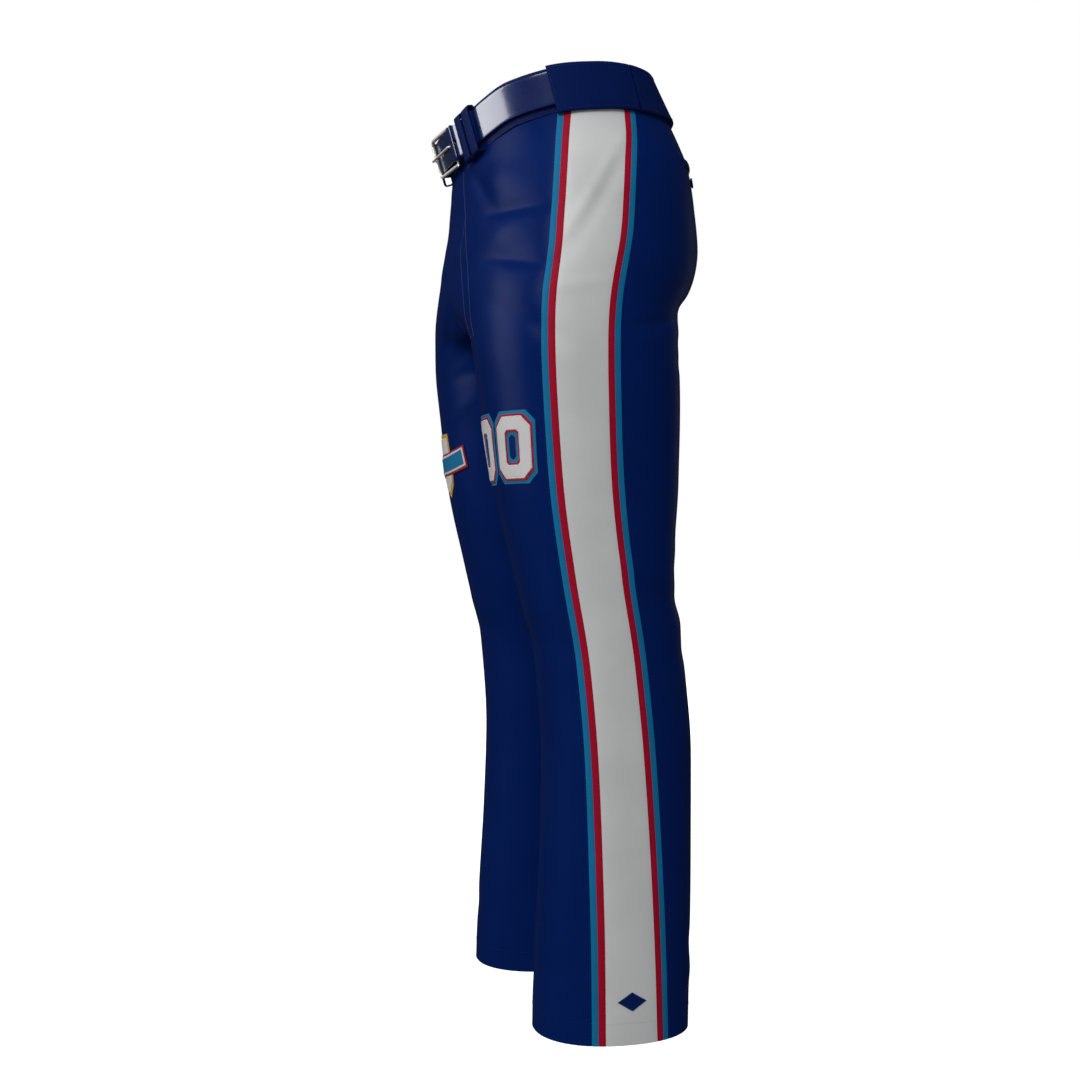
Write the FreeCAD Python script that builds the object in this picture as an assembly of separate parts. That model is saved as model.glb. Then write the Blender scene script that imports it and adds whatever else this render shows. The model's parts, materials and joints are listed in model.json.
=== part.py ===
"""Long belted team pants, as worn: two hollow legs, a sloping waistband with tunnels and loops, a belt
with a prong buckle, a zip fly, back pockets, side stripes and sewn-on marks.

Millimetres. +Z is up, the front faces -Y and the wearer's left is +X. The origin is on the floor, in the
middle of the object's box.
"""
import FreeCAD, Part
import math
import os

V = FreeCAD.Vector
OUT = "parts"

# ---------------------------------------------------------------- driving dimensions
ORIGIN_Y = 27.31         # the box's middle, measured behind the line that the sections below are drawn from
ROUNDNESS = 2.2          # exponent of the rounded sections: 2 is an ellipse
FABRIC = 1.8             # thickness of the body fabric
SEAM_GAP = 0.3           # free room left between two sewn pieces
CROTCH = 765.0           # height of the fork
WAIST_TILT = 16.0        # degrees that the waist slopes, higher at the back
TILT_START = 780.0       # the slope builds up from this height
WAIST_SEAM = 1003.7      # where the legs' panels end, at the side

# One row for each height: outer side, inner side, side line (y), front, back
SECTIONS = [
    (0.0, 212.0, 64.0, 43.6, -44.2, 128.6),
    (100.0, 210.0, 62.0, 42.1, -40.3, 132.0),
    (200.0, 208.0, 60.0, 38.8, -34.5, 134.3),
    (300.0, 206.0, 58.0, 33.6, -31.5, 135.2),
    (400.0, 204.0, 55.0, 24.5, -38.3, 128.0),
    (500.0, 204.0, 43.0, 8.3, -61.0, 117.9),
    (600.0, 206.0, 29.0, -4.5, -83.6, 125.9),
    (700.0, 209.0, 13.0, -10.4, -97.2, 128.8),
    (740.0, 209.0, 8.0, -11.5, -102.8, 128.3),
    (CROTCH, 209.0, 0.0, -11.8, -106.0, 128.0),
    (780.0, 208.0, -50.0, -11.0, -108.3, 132.3),
    (800.0, 206.0, -100.0, -8.4, -110.9, 146.5),
    (830.0, 203.0, -160.0, -2.5, -111.7, 170.0),
    (860.0, 199.0, -199.0, 3.2, -111.2, 180.8),
    (900.0, 192.0, -192.0, 8.2, -106.9, 176.5),
    (940.0, 183.0, -183.0, 13.4, -102.6, 169.3),
    (970.0, 173.0, -173.0, 17.9, -102.0, 159.0),
    (WAIST_SEAM, 161.0, -161.0, 22.0, -100.1, 145.0),
]
LEG_ROWS = [
    0, 50, 100, 150, 200, 250, 300, 350, 400, 450, 500, 550, 600, 640, 675, 700, 720, 737, 750, 759, CROTCH
]
SEAT_ROWS = [
    CROTCH, 765.6, 767.2, 770, 774, 780, 788, 798, 812, 830, 850, 872, 896, 922, 950, 978, WAIST_SEAM
]
PANEL_LENGTHS = [0, 200, 400, 550, 675, CROTCH]   # a leg panel is drawn in lengths that meet level at these
SEAT_JOIN = 885          # and its seat in two, which meet level at this height
EVEN_REACH = 175.0       # cloth this close to the side line keeps its place from row to row

# side stripe: a white panel with a red and a blue braid along each edge
STRIPE_WIDTH = [
    (0.0, 58.5), (150.0, 55.0), (400.0, 50.0), (600.0, 53.5), (700.0, 57.0), (800.0, 60.0), (890.0, 65.5),
    (960.0, 65.5), (WAIST_SEAM, 61.0),
]
RED_BRAID = 7.8
BLUE_BRAID = 7.2

# sewn-on marks: layers of twill, each a little further out
LAYER = 0.4
LAYER_FLOOR = 0.3
LAYER_PITCH = 0.5
NUMBER_HEIGHT = 635.0
DIGIT_PLACES = (84.0, 149.0)
DIGIT_WIDE, DIGIT_HIGH, DIGIT_STROKE = 50.4, 66.4, 14.6
EMBLEM_HEIGHT, EMBLEM_PLACE = 630.0, 132.0
BADGE_HEIGHT = 46.0

# back pockets: heights of the welt, its span behind the side line, and how deep the bag hangs
WELT_HEIGHTS = (936.0, 948.0)
WELT_SPAN = (-138.0, -248.0)
BAG_DEEP = 145.0

# waist ring, in the sloping waist frame
WAIST_Y, WAIST_Z = 15.7, 1027.6
RING_WIDE, RING_FRONT, RING_BACK = 161.0, 127.0, 116.0
BAND_LOW, BAND_HIGH = -23.5, 22.0
BAND_THICK = 2.2
# how far the waist rises out of its sloping plane, at each place round from the centre front
WAIST_RISE = [
    (0.0, 0.0), (50.0, 0.0), (100.0, 7.0), (140.0, 12.5), (183.0, 11.5), (240.0, 3.5), (280.0, -4.5),
    (310.0, -9.5), (370.0, -13.0), (459.0, -15.0),
]
RISE_START = 900.0       # the panels begin to follow that rise at this height
WAIST_FLARE = 0.22       # how much the waistband widens downwards at the back
FLARE_FROM, FLARE_TO = 280.0, 380.0
UNDERLAP_FROM, UNDERLAP_TO = -15.0, 34.0

# belt
STRAP_HALF = 17.8
STRAP_THICK = 2.4
STRAP_LIE = 1.8          # from the waistband to the strap
CHAPE_LIE = 3.6          # the same, where the strap is held in the chape
TAIL_OVER_BAR = 8.9
TAIL_LIE = 5.6
TAIL_END = 84.5
STRAP_START = 30.5
BAR_AT = 26.0            # place along the ring of the buckle's hinge bar
BAR_OUT = 4.9            # its distance out from the waistband
BAR_RADIUS = 1.8
FRAME_RADIUS = 2.3
FRAME_END_AT, FRAME_END_OUT = -32.0, 14.2
FRAME_HALF = 21.8
HOLE_PITCH, HOLE_RADIUS = 25.0, 2.4
FIRST_HOLE = -30.0
PRONG_HOLE = 2           # which hole the prong is in; it is drawn out long
PRONG_RADIUS = 1.5
KEEPER_FROM, KEEPER_TO = 33.0, 42.8
RIVET_AT = 45.6

# belt loops and tunnels
LOOP_LOW, LOOP_HIGH = -28.0, 24.0
LOOP_SPANS = [(55.0, 68.0), (72.0, 85.0)]
LOOP_OUT = 10.0
TUNNEL_OUT = 5.2
SIDE_TUNNEL = (186.0, 279.0)
BACK_TUNNEL = 172.0      # half its width, about the centre back
CLOTH = 1.1              # thickness of loops, tunnels and facings

# fly
FLY_TOP_Y, FLY_TOP_Z = -94.0, 962.0
FLY_LEAN = 4.0
CHAIN_LENGTH = 112.0
CHAIN_TOP = -10.0        # below the fly's top
CHAIN_DEPTH = 9.5        # middle of the zip's teeth, into the pants from the fly's line
TOOTH_PITCH = 2.5
PULL_AXIS_DEPTH = CHAIN_DEPTH - 3.6
PULL_AXIS_UP = CHAIN_TOP - 1.0


# ---------------------------------------------------------------- curves and sections
def smooth(t):
    t = min(max(t, 0.0), 1.0)
    return t * t * (3 - 2 * t)


def through(rows, x):
    """Value at x of a smooth curve through rows of (x, value) that doesn't overshoot between them."""
    if x <= rows[0][0]:
        return rows[0][1]
    if x >= rows[-1][0]:
        return rows[-1][1]
    slopes = [(b[1] - a[1]) / (b[0] - a[0]) for a, b in zip(rows, rows[1:])]
    bends = [slopes[0]]
    for s, t in zip(slopes, slopes[1:]):
        bends.append(0.0 if s * t <= 0 else 2 * s * t / (s + t))
    bends.append(slopes[-1])
    i = max(k for k in range(len(rows) - 1) if rows[k][0] <= x)
    step = rows[i + 1][0] - rows[i][0]
    t = (x - rows[i][0]) / step
    return (
        rows[i][1] * (1 + 2 * t) * (1 - t) ** 2
        + bends[i] * step * t * (1 - t) ** 2
        + rows[i + 1][1] * t * t * (3 - 2 * t)
        + bends[i + 1] * step * t * t * (t - 1)
    )


def waist_slope(height):
    share = smooth((height - TILT_START) / (WAIST_SEAM - TILT_START))
    return math.tan(math.radians(WAIST_TILT)) * share


class Outline:
    """The left half's section at one height, measured along the cloth from the side line."""

    STEPS = 240

    def __init__(self, height):
        outer, inner, side, front, back = (
            through([(row[0], row[k]) for row in SECTIONS], height) for k in range(1, 6)
        )
        self.height, self.side, self.slope = height, side, waist_slope(height)
        self.rise = smooth((height - RISE_START) / (WAIST_SEAM - RISE_START))
        middle, half = (outer + inner) / 2, (outer - inner) / 2
        self.runs = {}
        for name, depth in (("front", front - side), ("back", back - side)):
            points = []
            for k in range(self.STEPS + 1):
                turn = math.pi * k / self.STEPS
                c, s = math.cos(turn), math.sin(turn)
                x = middle + half * math.copysign(abs(c) ** (2 / ROUNDNESS), c)
                y = side + depth * abs(s) ** (2 / ROUNDNESS)
                if x < 0 and points:
                    share = points[-1][0] / (points[-1][0] - x)
                    y = points[-1][1] + (y - points[-1][1]) * share
                    points.append((0.0, y))
                    break
                points.append((x, y))
            lengths = [0.0]
            for a, b in zip(points, points[1:]):
                lengths.append(lengths[-1] + math.dist(a, b))
            self.runs[name] = (points, lengths)

    def end(self, name):
        """Length of cloth from the side line to the inseam, or to the middle seam above the fork."""
        return self.runs[name][1][-1]

    def _flat(self, s):
        points, lengths = self.runs["front" if s >= 0 else "back"]
        s = min(abs(s), lengths[-1])
        i = next((k for k in range(1, len(lengths)) if lengths[k] >= s), len(lengths) - 1)
        t = (s - lengths[i - 1]) / max(lengths[i] - lengths[i - 1], 1e-9)
        a, b = points[i - 1], points[i]
        return a[0] + (b[0] - a[0]) * t, a[1] + (b[1] - a[1]) * t

    def point(self, s, out=0.0):
        """The point s along the cloth, positive to the front, and out from the surface."""
        x, y = self._flat(s)
        ahead, behind = self._flat(s + 1.5), self._flat(s - 1.5)
        tx, ty = ahead[0] - behind[0], ahead[1] - behind[1]
        size = math.hypot(tx, ty)
        x, y = x - ty / size * out, y + tx / size * out
        z = self.height + self.slope * (y - self.side) + self.rise * waist_rise(SIDE_PLACE - s)
        return V(x, y - ORIGIN_Y, z)


def mirrored(shape):
    return shape.mirror(V(0, 0, 0), V(1, 0, 0))


def rim_face(a, b):
    """The edge face between two curves: a true plane where it lies level, so that a hem can stand on it."""
    face = Part.makeRuledSurface(a, b)
    if face.BoundBox.ZLength < 1e-6:
        face = Part.Face(Part.Wire(Part.__sortEdges__(face.Edges)))
    return face


def solid_between(near, far):
    """One closed solid between two grids of points, near and far, that have the same rows and columns."""
    faces, rims = [], []
    for grid in (near, far):
        surface = Part.BSplineSurface()
        surface.interpolate(grid)
        u0, u1, v0, v1 = surface.bounds()
        faces.append(surface.toShape())
        ends = (surface.uIso(u0), surface.uIso(u1), surface.vIso(v0), surface.vIso(v1))
        rims.append([curve.toShape() for curve in ends])
    faces += [rim_face(a, b) for a, b in zip(*rims)]
    shell = Part.makeShell(faces)
    shell.sewShape()
    solid = Part.makeSolid(shell)
    if solid.Volume < 0:
        solid.reverse()
    return solid


def even_places(a, b, columns):
    return [a + (b - a) * k / columns for k in range(columns + 1)]


def panel(rows, places, out=0.0, thick=FABRIC):
    """A cloth piece through places(outline) at each height in rows, out from the surface."""
    near, far = [], []
    for height in rows:
        line = Outline(height)
        near.append([line.point(s, out) for s in places(line)])
        far.append([line.point(s, out - thick) for s in places(line)])
    return solid_between(near, far)


def strip(rows, start, stop, columns, out=0.0, thick=FABRIC):
    """A cloth piece between the places start(outline) and stop(outline)."""
    return panel(rows, lambda line: even_places(start(line), stop(line), columns), out, thick)


def half_stripe(line):
    return through(STRIPE_WIDTH, line.height) / 2


# ---------------------------------------------------------------- legs
def main_panel(side):
    """The front panel (side 1) or back panel (side -1): lengths of leg, then the seat above the fork in two."""
    name = "front" if side > 0 else "back"

    def places(line):
        start = half_stripe(line) + RED_BRAID + BLUE_BRAID + SEAM_GAP
        stop = line.end(name) - SEAM_GAP
        outer = even_places(start, EVEN_REACH, 7)
        return [side * s for s in outer[:-1] + even_places(EVEN_REACH, stop, 8)]

    lengths = []
    for low, high in zip(PANEL_LENGTHS, PANEL_LENGTHS[1:]):
        lengths.append(panel([row for row in LEG_ROWS if low <= row <= high], places))
    seat = panel(SEAT_ROWS, places)
    below = Part.makeBox(1000, 1000, SEAT_JOIN, V(-500, -500, 0))
    return Part.makeCompound(lengths + seat.common(below).Solids + seat.cut(below).Solids)


def side_pieces():
    """The white side panel and the four braids along its edges."""
    rows = LEG_ROWS + SEAT_ROWS[3:]
    made = {"side_panel": strip(rows, lambda o: -half_stripe(o), half_stripe, 4)}
    for name, sign in (("front", 1), ("back", -1)):
        for colour, inner, width in (("red", 0.0, RED_BRAID), ("blue", RED_BRAID, BLUE_BRAID)):
            made[f"{name}_{colour}_braid"] = strip(
                rows,
                lambda o, at=inner: sign * (half_stripe(o) + at + SEAM_GAP),
                lambda o, at=inner + width: sign * (half_stripe(o) + at),
                2,
            )
    return made


def hem_facing():
    """The turned-up end of the leg: a ring of cloth inside the bottom 28 mm, joined at the inseam."""
    rows = [0, 10, 20, 28]
    return strip(
        rows, lambda o: 3.0 - o.end("back"), lambda o: o.end("front") - 3.0, 20, -FABRIC - 0.6, CLOTH
    )


def body_parts():
    made = {"front_panel": main_panel(1), "back_panel": main_panel(-1), "hem_facing": hem_facing()}
    made.update(side_pieces())
    made.update(back_pocket())
    both = {"left_" + name: shape for name, shape in made.items()}
    both.update({"right_" + name: mirrored(shape) for name, shape in made.items()})
    return both


def slab(height, half_height, s, half_width, out, thick=LAYER, columns=12):
    """A patch of even thickness laid on a leg, centred on a height and a place along the cloth."""
    rows = even_places(height - half_height, height + half_height, 6)
    return strip(rows, lambda o: s - half_width, lambda o: s + half_width, columns, out + thick, thick)


def cut_out(shape, outlines, height, s):
    """The part of a thin patch inside an outline of (across, up) points, less any holes that follow it."""
    line = Outline(height)
    centre = line.point(s)
    ahead = line.point(s + 8.0) - line.point(s - 8.0)
    across = V(ahead.x, ahead.y, 0).normalize()
    normal = across.cross(V(0, 0, 1)).normalize()
    reach = 60.0
    wires = []
    for loop in outlines:
        points = [centre + across * a + V(0, 0, b) - normal * reach for a, b in loop]
        wires.append(Part.makePolygon(points + [points[0]]))
    face = Part.Face(wires[0])
    for hole in wires[1:]:
        face = face.cut(Part.Face(hole))
    return shape.common(face.extrude(normal * reach * 2))


def chamfered(half_wide, half_high, corner):
    """An eight-sided outline with cut corners."""
    w, h, c = half_wide, half_high, corner
    right = [(w - c, -h), (w, -h + c), (w, h - c), (w - c, h)]
    return right + [(-x, y) for x, y in reversed(right)]


def number_layers():
    """Two plain block noughts in three layers of twill on the left thigh: blue under red under white."""
    made = {}
    for layer, (colour, border) in enumerate((("blue", 5.8), ("red", 2.3), ("white", 0.0))):
        rims = [
            chamfered(DIGIT_WIDE / 2 + border, DIGIT_HIGH / 2 + border, 11.0),
            chamfered(DIGIT_WIDE / 2 - DIGIT_STROKE - border, DIGIT_HIGH / 2 - DIGIT_STROKE - border, 3.0),
        ]
        digits = []
        for s in DIGIT_PLACES:
            patch = slab(NUMBER_HEIGHT, 45.0, s, 38.0, LAYER_FLOOR + LAYER_PITCH * layer)
            digits += cut_out(patch, rims, NUMBER_HEIGHT, s).Solids
        made[f"number_{colour}_layer"] = Part.makeCompound(digits)
    return made


def banner(half, deep, rise):
    """A ribbon outline: half its length, its depth, and how far it sweeps up one way and down the other."""
    places = even_places(-half, half, 10)
    top = [(x, deep / 2 + rise * (x / half) * abs(x / half)) for x in places]
    return top + [(x, y - deep) for x, y in reversed(top)]


def shield(half, high, point):
    return [
        (-half, high), (half, high), (half, -point * 0.2), (half * 0.7, -point * 0.65),
        (0, -point), (-half * 0.7, -point * 0.65), (-half, -point * 0.2),
    ]


def emblem_layers():
    """A plain shield with a ribbon across it, on the right thigh, with no letters."""
    outlines = [
        ("shield_gold", shield(27.0, 38.0, 41.0)),
        ("shield_white", shield(22.0, 33.0, 34.5)),
        ("ribbon_red", banner(64.0, 27.0, 9.0)),
        ("ribbon_white", banner(61.5, 22.0, 8.7)),
        ("ribbon_blue", banner(59.0, 17.0, 8.4)),
    ]
    made = {}
    for layer, (name, outline) in enumerate(outlines):
        patch = slab(EMBLEM_HEIGHT, 50.0, EMBLEM_PLACE, 88.0, LAYER_FLOOR + LAYER_PITCH * layer)
        made["emblem_" + name] = mirrored(cut_out(patch, [outline], EMBLEM_HEIGHT, EMBLEM_PLACE))
    return made


def hem_badge():
    """A small plain lozenge on the white panel above the left hem."""
    patch = slab(BADGE_HEIGHT, 16.0, 0.0, 22.0, LAYER_FLOOR)
    return cut_out(patch, [[(-16, 0), (0, -10), (16, 0), (0, 10)]], BADGE_HEIGHT, 0.0)


def back_pocket():
    """The left back pocket: a welt, the bag behind it, and a button below the welt's middle."""
    welt = strip(even_places(*WELT_HEIGHTS, 4), lambda o: WELT_SPAN[0], lambda o: WELT_SPAN[1], 8, 1.8, 1.2)
    bag_rows = even_places(WELT_HEIGHTS[1] - BAG_DEEP, WELT_HEIGHTS[1], 6)
    bag = strip(bag_rows, lambda o: WELT_SPAN[0] - 3, lambda o: WELT_SPAN[1] + 3, 8, -FABRIC - 0.6, CLOTH)
    line = Outline(WELT_HEIGHTS[0] - 12.0)
    middle = sum(WELT_SPAN) / 2
    centre = line.point(middle, 0.3)
    outward = (line.point(middle, 10) - line.point(middle, 0)).normalize()
    across = outward.cross(V(0, 0, 1)).normalize()
    up = across.cross(outward)
    button = Part.makeCylinder(6.0, 2.2, centre, outward)
    for i, j in ((-1, -1), (-1, 1), (1, -1), (1, 1)):
        hole = centre + across * 1.5 * i + up * 1.5 * j - outward
        button = button.cut(Part.makeCylinder(0.7, 6.0, hole, outward))
    return {"pocket_welt": welt, "pocket_bag": bag, "pocket_button": button}


# ---------------------------------------------------------------- the sloping waist ring
def ring_table():
    """(length from the centre front, x, y) round the left half of the ring, to the centre back."""
    rows, length, last = [], 0.0, None
    for depth, turns in ((-RING_FRONT, range(0, 201)), (RING_BACK, range(199, -1, -1))):
        for k in turns:
            turn = math.pi / 2 * k / 200
            x = RING_WIDE * math.sin(turn) ** (2 / ROUNDNESS)
            y = depth * math.cos(turn) ** (2 / ROUNDNESS) if k < 200 else 0.0
            if last:
                length += math.dist((x, y), last)
            last = (x, y)
            rows.append((length, x, y))
    return rows


RING = ring_table()
HALF_ROUND = RING[-1][0]
SIDE_PLACE = RING[200][0]


def wrapped(s):
    return (s + HALF_ROUND) % (2 * HALF_ROUND) - HALF_ROUND


def waist_rise(s):
    return through(WAIST_RISE, abs(wrapped(s)))


def ring_flat(s):
    """(x, y) on the ring's own line, s from the centre front and positive to the wearer's left."""
    s = wrapped(s)
    i = next((k for k in range(1, len(RING)) if RING[k][0] >= abs(s)), len(RING) - 1)
    a, b = RING[i - 1], RING[i]
    t = (abs(s) - a[0]) / (b[0] - a[0])
    return math.copysign(a[1] + (b[1] - a[1]) * t, s), a[2] + (b[2] - a[2]) * t


def ring_out(s):
    """Unit (x, y) that points out from the ring at s."""
    a, b = ring_flat(s - 2.0), ring_flat(s + 2.0)
    size = math.dist(a, b)
    return (b[1] - a[1]) / size, -(b[0] - a[0]) / size


def ring_point(s, out, up=0.0):
    x, y = ring_flat(s)
    nx, ny = ring_out(s)
    out -= up * WAIST_FLARE * smooth((abs(wrapped(s)) - FLARE_FROM) / (FLARE_TO - FLARE_FROM))
    return V(x + nx * out, y + ny * out, up + waist_rise(s))


def on_waist(shape):
    """Moves a shape from the waist's own frame to where the waist is."""
    shape = shape.copy()
    turn = FreeCAD.Rotation(V(1, 0, 0), WAIST_TILT)
    shape.Placement = FreeCAD.Placement(V(0, WAIST_Y - ORIGIN_Y, WAIST_Z), turn).multiply(shape.Placement)
    return shape


def waist_vector(local):
    return FreeCAD.Rotation(V(1, 0, 0), WAIST_TILT).multVec(local)


def waist_point(local):
    return waist_vector(local) + V(0, WAIST_Y - ORIGIN_Y, WAIST_Z)


def band(s0, s1, inner, outer, low, high, step=12.0):
    """A strip that follows the ring from s0 to s1; its faces are given by numbers, or by functions of s."""
    inside = inner if callable(inner) else lambda s: inner
    outside = outer if callable(outer) else lambda s: outer
    count = max(2, int(abs(s1 - s0) / step))
    places = [s0 + (s1 - s0) * k / count for k in range(count + 1)]
    edges = []
    corners = [(outside, low), (outside, high), (inside, high), (inside, low)]
    for face, up in corners:
        curve = Part.BSplineCurve()
        curve.interpolate(Points=[ring_point(s, face(s), up) for s in places], Parameters=places)
        edges.append(curve.toShape())
    faces = [Part.makeRuledSurface(a, b) for a, b in zip(edges, edges[1:] + edges[:1])]
    for s in (s0, s1):
        ends = [ring_point(s, face(s), up) for face, up in corners]
        faces.append(Part.Face(Part.makePolygon(ends + ends[:1])))
    shell = Part.makeShell(faces)
    shell.sewShape()
    solid = Part.makeSolid(shell)
    if solid.Volume < 0:
        solid.reverse()
    return solid


def tunnel(s0, s1, reach, cloth=CLOTH, low=LOOP_LOW, high=LOOP_HIGH):
    """A flat tube of cloth on the waistband, open at both ends, that the belt runs through."""
    whole = band(s0, s1, 0.2, reach + cloth, low, high)
    bore = band(s0 - 1, s1 + 1, 0.2 + cloth, reach, low + cloth, high - cloth)
    room_for_panels = band(s0 - 1, s1 + 1, -1.0, 2.4, low - 1, BAND_LOW + 0.2)
    return whole.cut([bore, room_for_panels])


def waist_parts():
    seam = 0.4
    left_end, right_end = UNDERLAP_FROM + seam, 2 * HALF_ROUND + UNDERLAP_FROM
    made = {
        "waistband_left": band(left_end, HALF_ROUND - seam, -BAND_THICK, 0.0, BAND_LOW, BAND_HIGH),
        "waistband_right": band(HALF_ROUND + seam, right_end, -BAND_THICK, 0.0, BAND_LOW, BAND_HIGH),
        "waistband_underlap": band(UNDERLAP_FROM - 6, UNDERLAP_TO, -6.4, -4.6, BAND_LOW, BAND_HIGH),
        "waist_gripper_elastic": band(UNDERLAP_TO + 6, 2 * HALF_ROUND - 26, -3.6, -2.5, -15.0, 14.0),
        "left_side_tunnel": tunnel(*SIDE_TUNNEL, TUNNEL_OUT),
        "right_side_tunnel": tunnel(-SIDE_TUNNEL[1], -SIDE_TUNNEL[0], TUNNEL_OUT),
        "back_tunnel": tunnel(HALF_ROUND - BACK_TUNNEL, HALF_ROUND + BACK_TUNNEL, TUNNEL_OUT),
        "left_front_loops": Part.makeCompound([tunnel(a, b, LOOP_OUT) for a, b in LOOP_SPANS]),
        "right_front_loops": Part.makeCompound([tunnel(-b, -a, LOOP_OUT) for a, b in LOOP_SPANS]),
        "waist_hook": waist_hook(),
        "waist_bar": waist_bar(),
    }
    return {name: on_waist(shape) for name, shape in made.items()}


def waist_hook():
    """A flat hook on the inner face of the left waistband: a plate with a turned-back tongue."""
    plate = band(4.0, 18.0, -3.0, -2.4, -6.0, 6.0, 4.0)
    tongue = band(4.0, 15.0, -4.3, -3.9, -3.5, 3.5, 4.0)
    bend = band(3.2, 4.0, -4.3, -2.4, -3.5, 3.5, 0.4)
    return plate.fuse([tongue, bend])


def waist_bar():
    """The bar that the hook goes round, on the outer face of the underlap."""
    bar = band(8.0, 9.6, -3.8, -3.1, -5.5, 5.5, 0.8)
    feet = [band(8.0, 9.6, -4.5, -3.1, low, low + 1.2, 0.8) for low in (-5.5, 4.3)]
    return bar.fuse(feet)


# ---------------------------------------------------------------- belt and buckle
def strap_lie(t):
    """Distance of the strap's inner face out from the waistband, t along the strap from the chape's end."""
    full = 2 * HALF_ROUND
    lie = CHAPE_LIE + (STRAP_LIE - CHAPE_LIE) * smooth((t - 50.0) / 8.0)
    lie += (TAIL_OVER_BAR - STRAP_LIE) * smooth((t - full + 78.0) / 38.0)
    return lie - (TAIL_OVER_BAR - TAIL_LIE) * smooth((t - full - 47.5) / 10.0)


def belt_strap():
    """The strap: once round the waist, up over the buckle's bar, and on over itself to the tail's end."""
    full = 2 * HALF_ROUND
    end = full + TAIL_END

    def outer(t):
        return strap_lie(t) + STRAP_THICK

    strap = band(STRAP_START, end, strap_lie, outer, -STRAP_HALF, STRAP_HALF, 4.0)
    for k in range(5):
        at = FIRST_HOLE + HOLE_PITCH * k
        lie = strap_lie(full + at)
        outward = V(*ring_out(at), 0)
        start = ring_point(at, lie - 0.8)
        if k == PRONG_HOLE:
            over = lie + STRAP_THICK + 0.8
            hole = band(at - 5.5, at + 12.0, lie - 0.8, over, -HOLE_RADIUS, HOLE_RADIUS, 3.0)
        else:
            hole = Part.makeCylinder(HOLE_RADIUS, STRAP_THICK + 1.6, start, outward)
        strap = strap.cut(hole)
    return strap.cut(rivet_pins(1.6))


def rivet_pins(radius):
    outward = V(*ring_out(RIVET_AT), 0)
    pins = [
        Part.makeCylinder(radius, 5.6, ring_point(RIVET_AT, 1.9, up), outward) for up in (-11.0, 11.0)
    ]
    return Part.makeCompound(pins)


def chape_rivets():
    outward = V(*ring_out(RIVET_AT), 0)
    rivets = []
    for up in (-11.0, 11.0):
        pin = Part.makeCylinder(1.5, 6.6, ring_point(RIVET_AT, 1.4, up), outward)
        foot = Part.makeCylinder(2.6, 0.6, ring_point(RIVET_AT, 1.1, up), outward)
        head = Part.makeCylinder(2.6, 0.6, ring_point(RIVET_AT, 7.6, up), outward)
        rivets.append(pin.fuse([foot, head]))
    return Part.makeCompound(rivets)


def bar_centre(up=0.0):
    return ring_point(BAR_AT, BAR_OUT, up)


def belt_chape():
    """A leather fold round the buckle's bar, riveted to the strap's end, slotted for the prong's eye."""
    half = STRAP_HALF - 0.5
    outward = V(*ring_out(BAR_AT), 0)
    fold = Part.makeCylinder(BAR_RADIUS + 1.65, 2 * half, bar_centre(-half), V(0, 0, 1))
    strap_room = band(29.8, 60.0, CHAPE_LIE - 0.15, CHAPE_LIE + STRAP_THICK + 0.15, -30, 30, 4.0)
    legs = [band(27.5, 50.0, 1.9, CHAPE_LIE - 0.15, -half, half, 4.0)]
    legs.append(band(27.5, 50.0, CHAPE_LIE + STRAP_THICK + 0.15, 7.5, -half, half, 4.0))
    chape = fold.fuse(legs).cut(strap_room)
    bore = Part.makeCylinder(BAR_RADIUS + 0.1, 80.0, bar_centre(-40.0), V(0, 0, 1))
    slot = Part.makeBox(16.0, 16.0, 5.6, V(-8.0, -8.0, -2.8))
    slot.rotate(V(0, 0, 0), V(0, 0, 1), math.degrees(math.atan2(outward.y, outward.x)))
    slot.translate(bar_centre() + outward * 4.0)
    chape = chape.cut([bore, slot, rivet_pins(1.6)])
    return max(chape.Solids, key=lambda solid: solid.Volume)


def buckle_frame():
    """A round-cornered wire frame whose fourth side is the thinner hinge bar."""
    hinge, end = bar_centre(), ring_point(FRAME_END_AT, FRAME_END_OUT)
    along = (end - hinge).normalize()
    length = (end - hinge).Length
    corner = 7.0
    up = V(0, 0, 1)
    mid = 1 - math.sqrt(0.5)
    path = []
    for sign in (-1, 1):
        rail_start = hinge + up * sign * FRAME_HALF
        rail_end = rail_start + along * (length - corner)
        side_start = end + up * sign * (FRAME_HALF - corner)
        turn = end + up * sign * (FRAME_HALF - corner * mid) - along * corner * mid
        run = [Part.makeLine(rail_start, rail_end), Part.Arc(rail_end, turn, side_start).toShape()]
        path.append((run, side_start))
    edges = path[0][0] + [Part.makeLine(path[0][1], path[1][1])] + path[1][0]
    spine = Part.Wire(Part.__sortEdges__(edges))
    start = hinge - up * FRAME_HALF
    ring = Part.Wire(Part.makeCircle(FRAME_RADIUS, start, along))
    bow = spine.makePipeShell([ring], True, False)
    bar = Part.makeCylinder(BAR_RADIUS, 2 * FRAME_HALF, start, up)
    thick = FRAME_RADIUS + 0.3
    knuckles = [Part.makeCylinder(thick, 4.0, start + up * z, up) for z in (-2.0, 2 * FRAME_HALF - 2.0)]
    return bow.fuse([bar] + knuckles)


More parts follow.
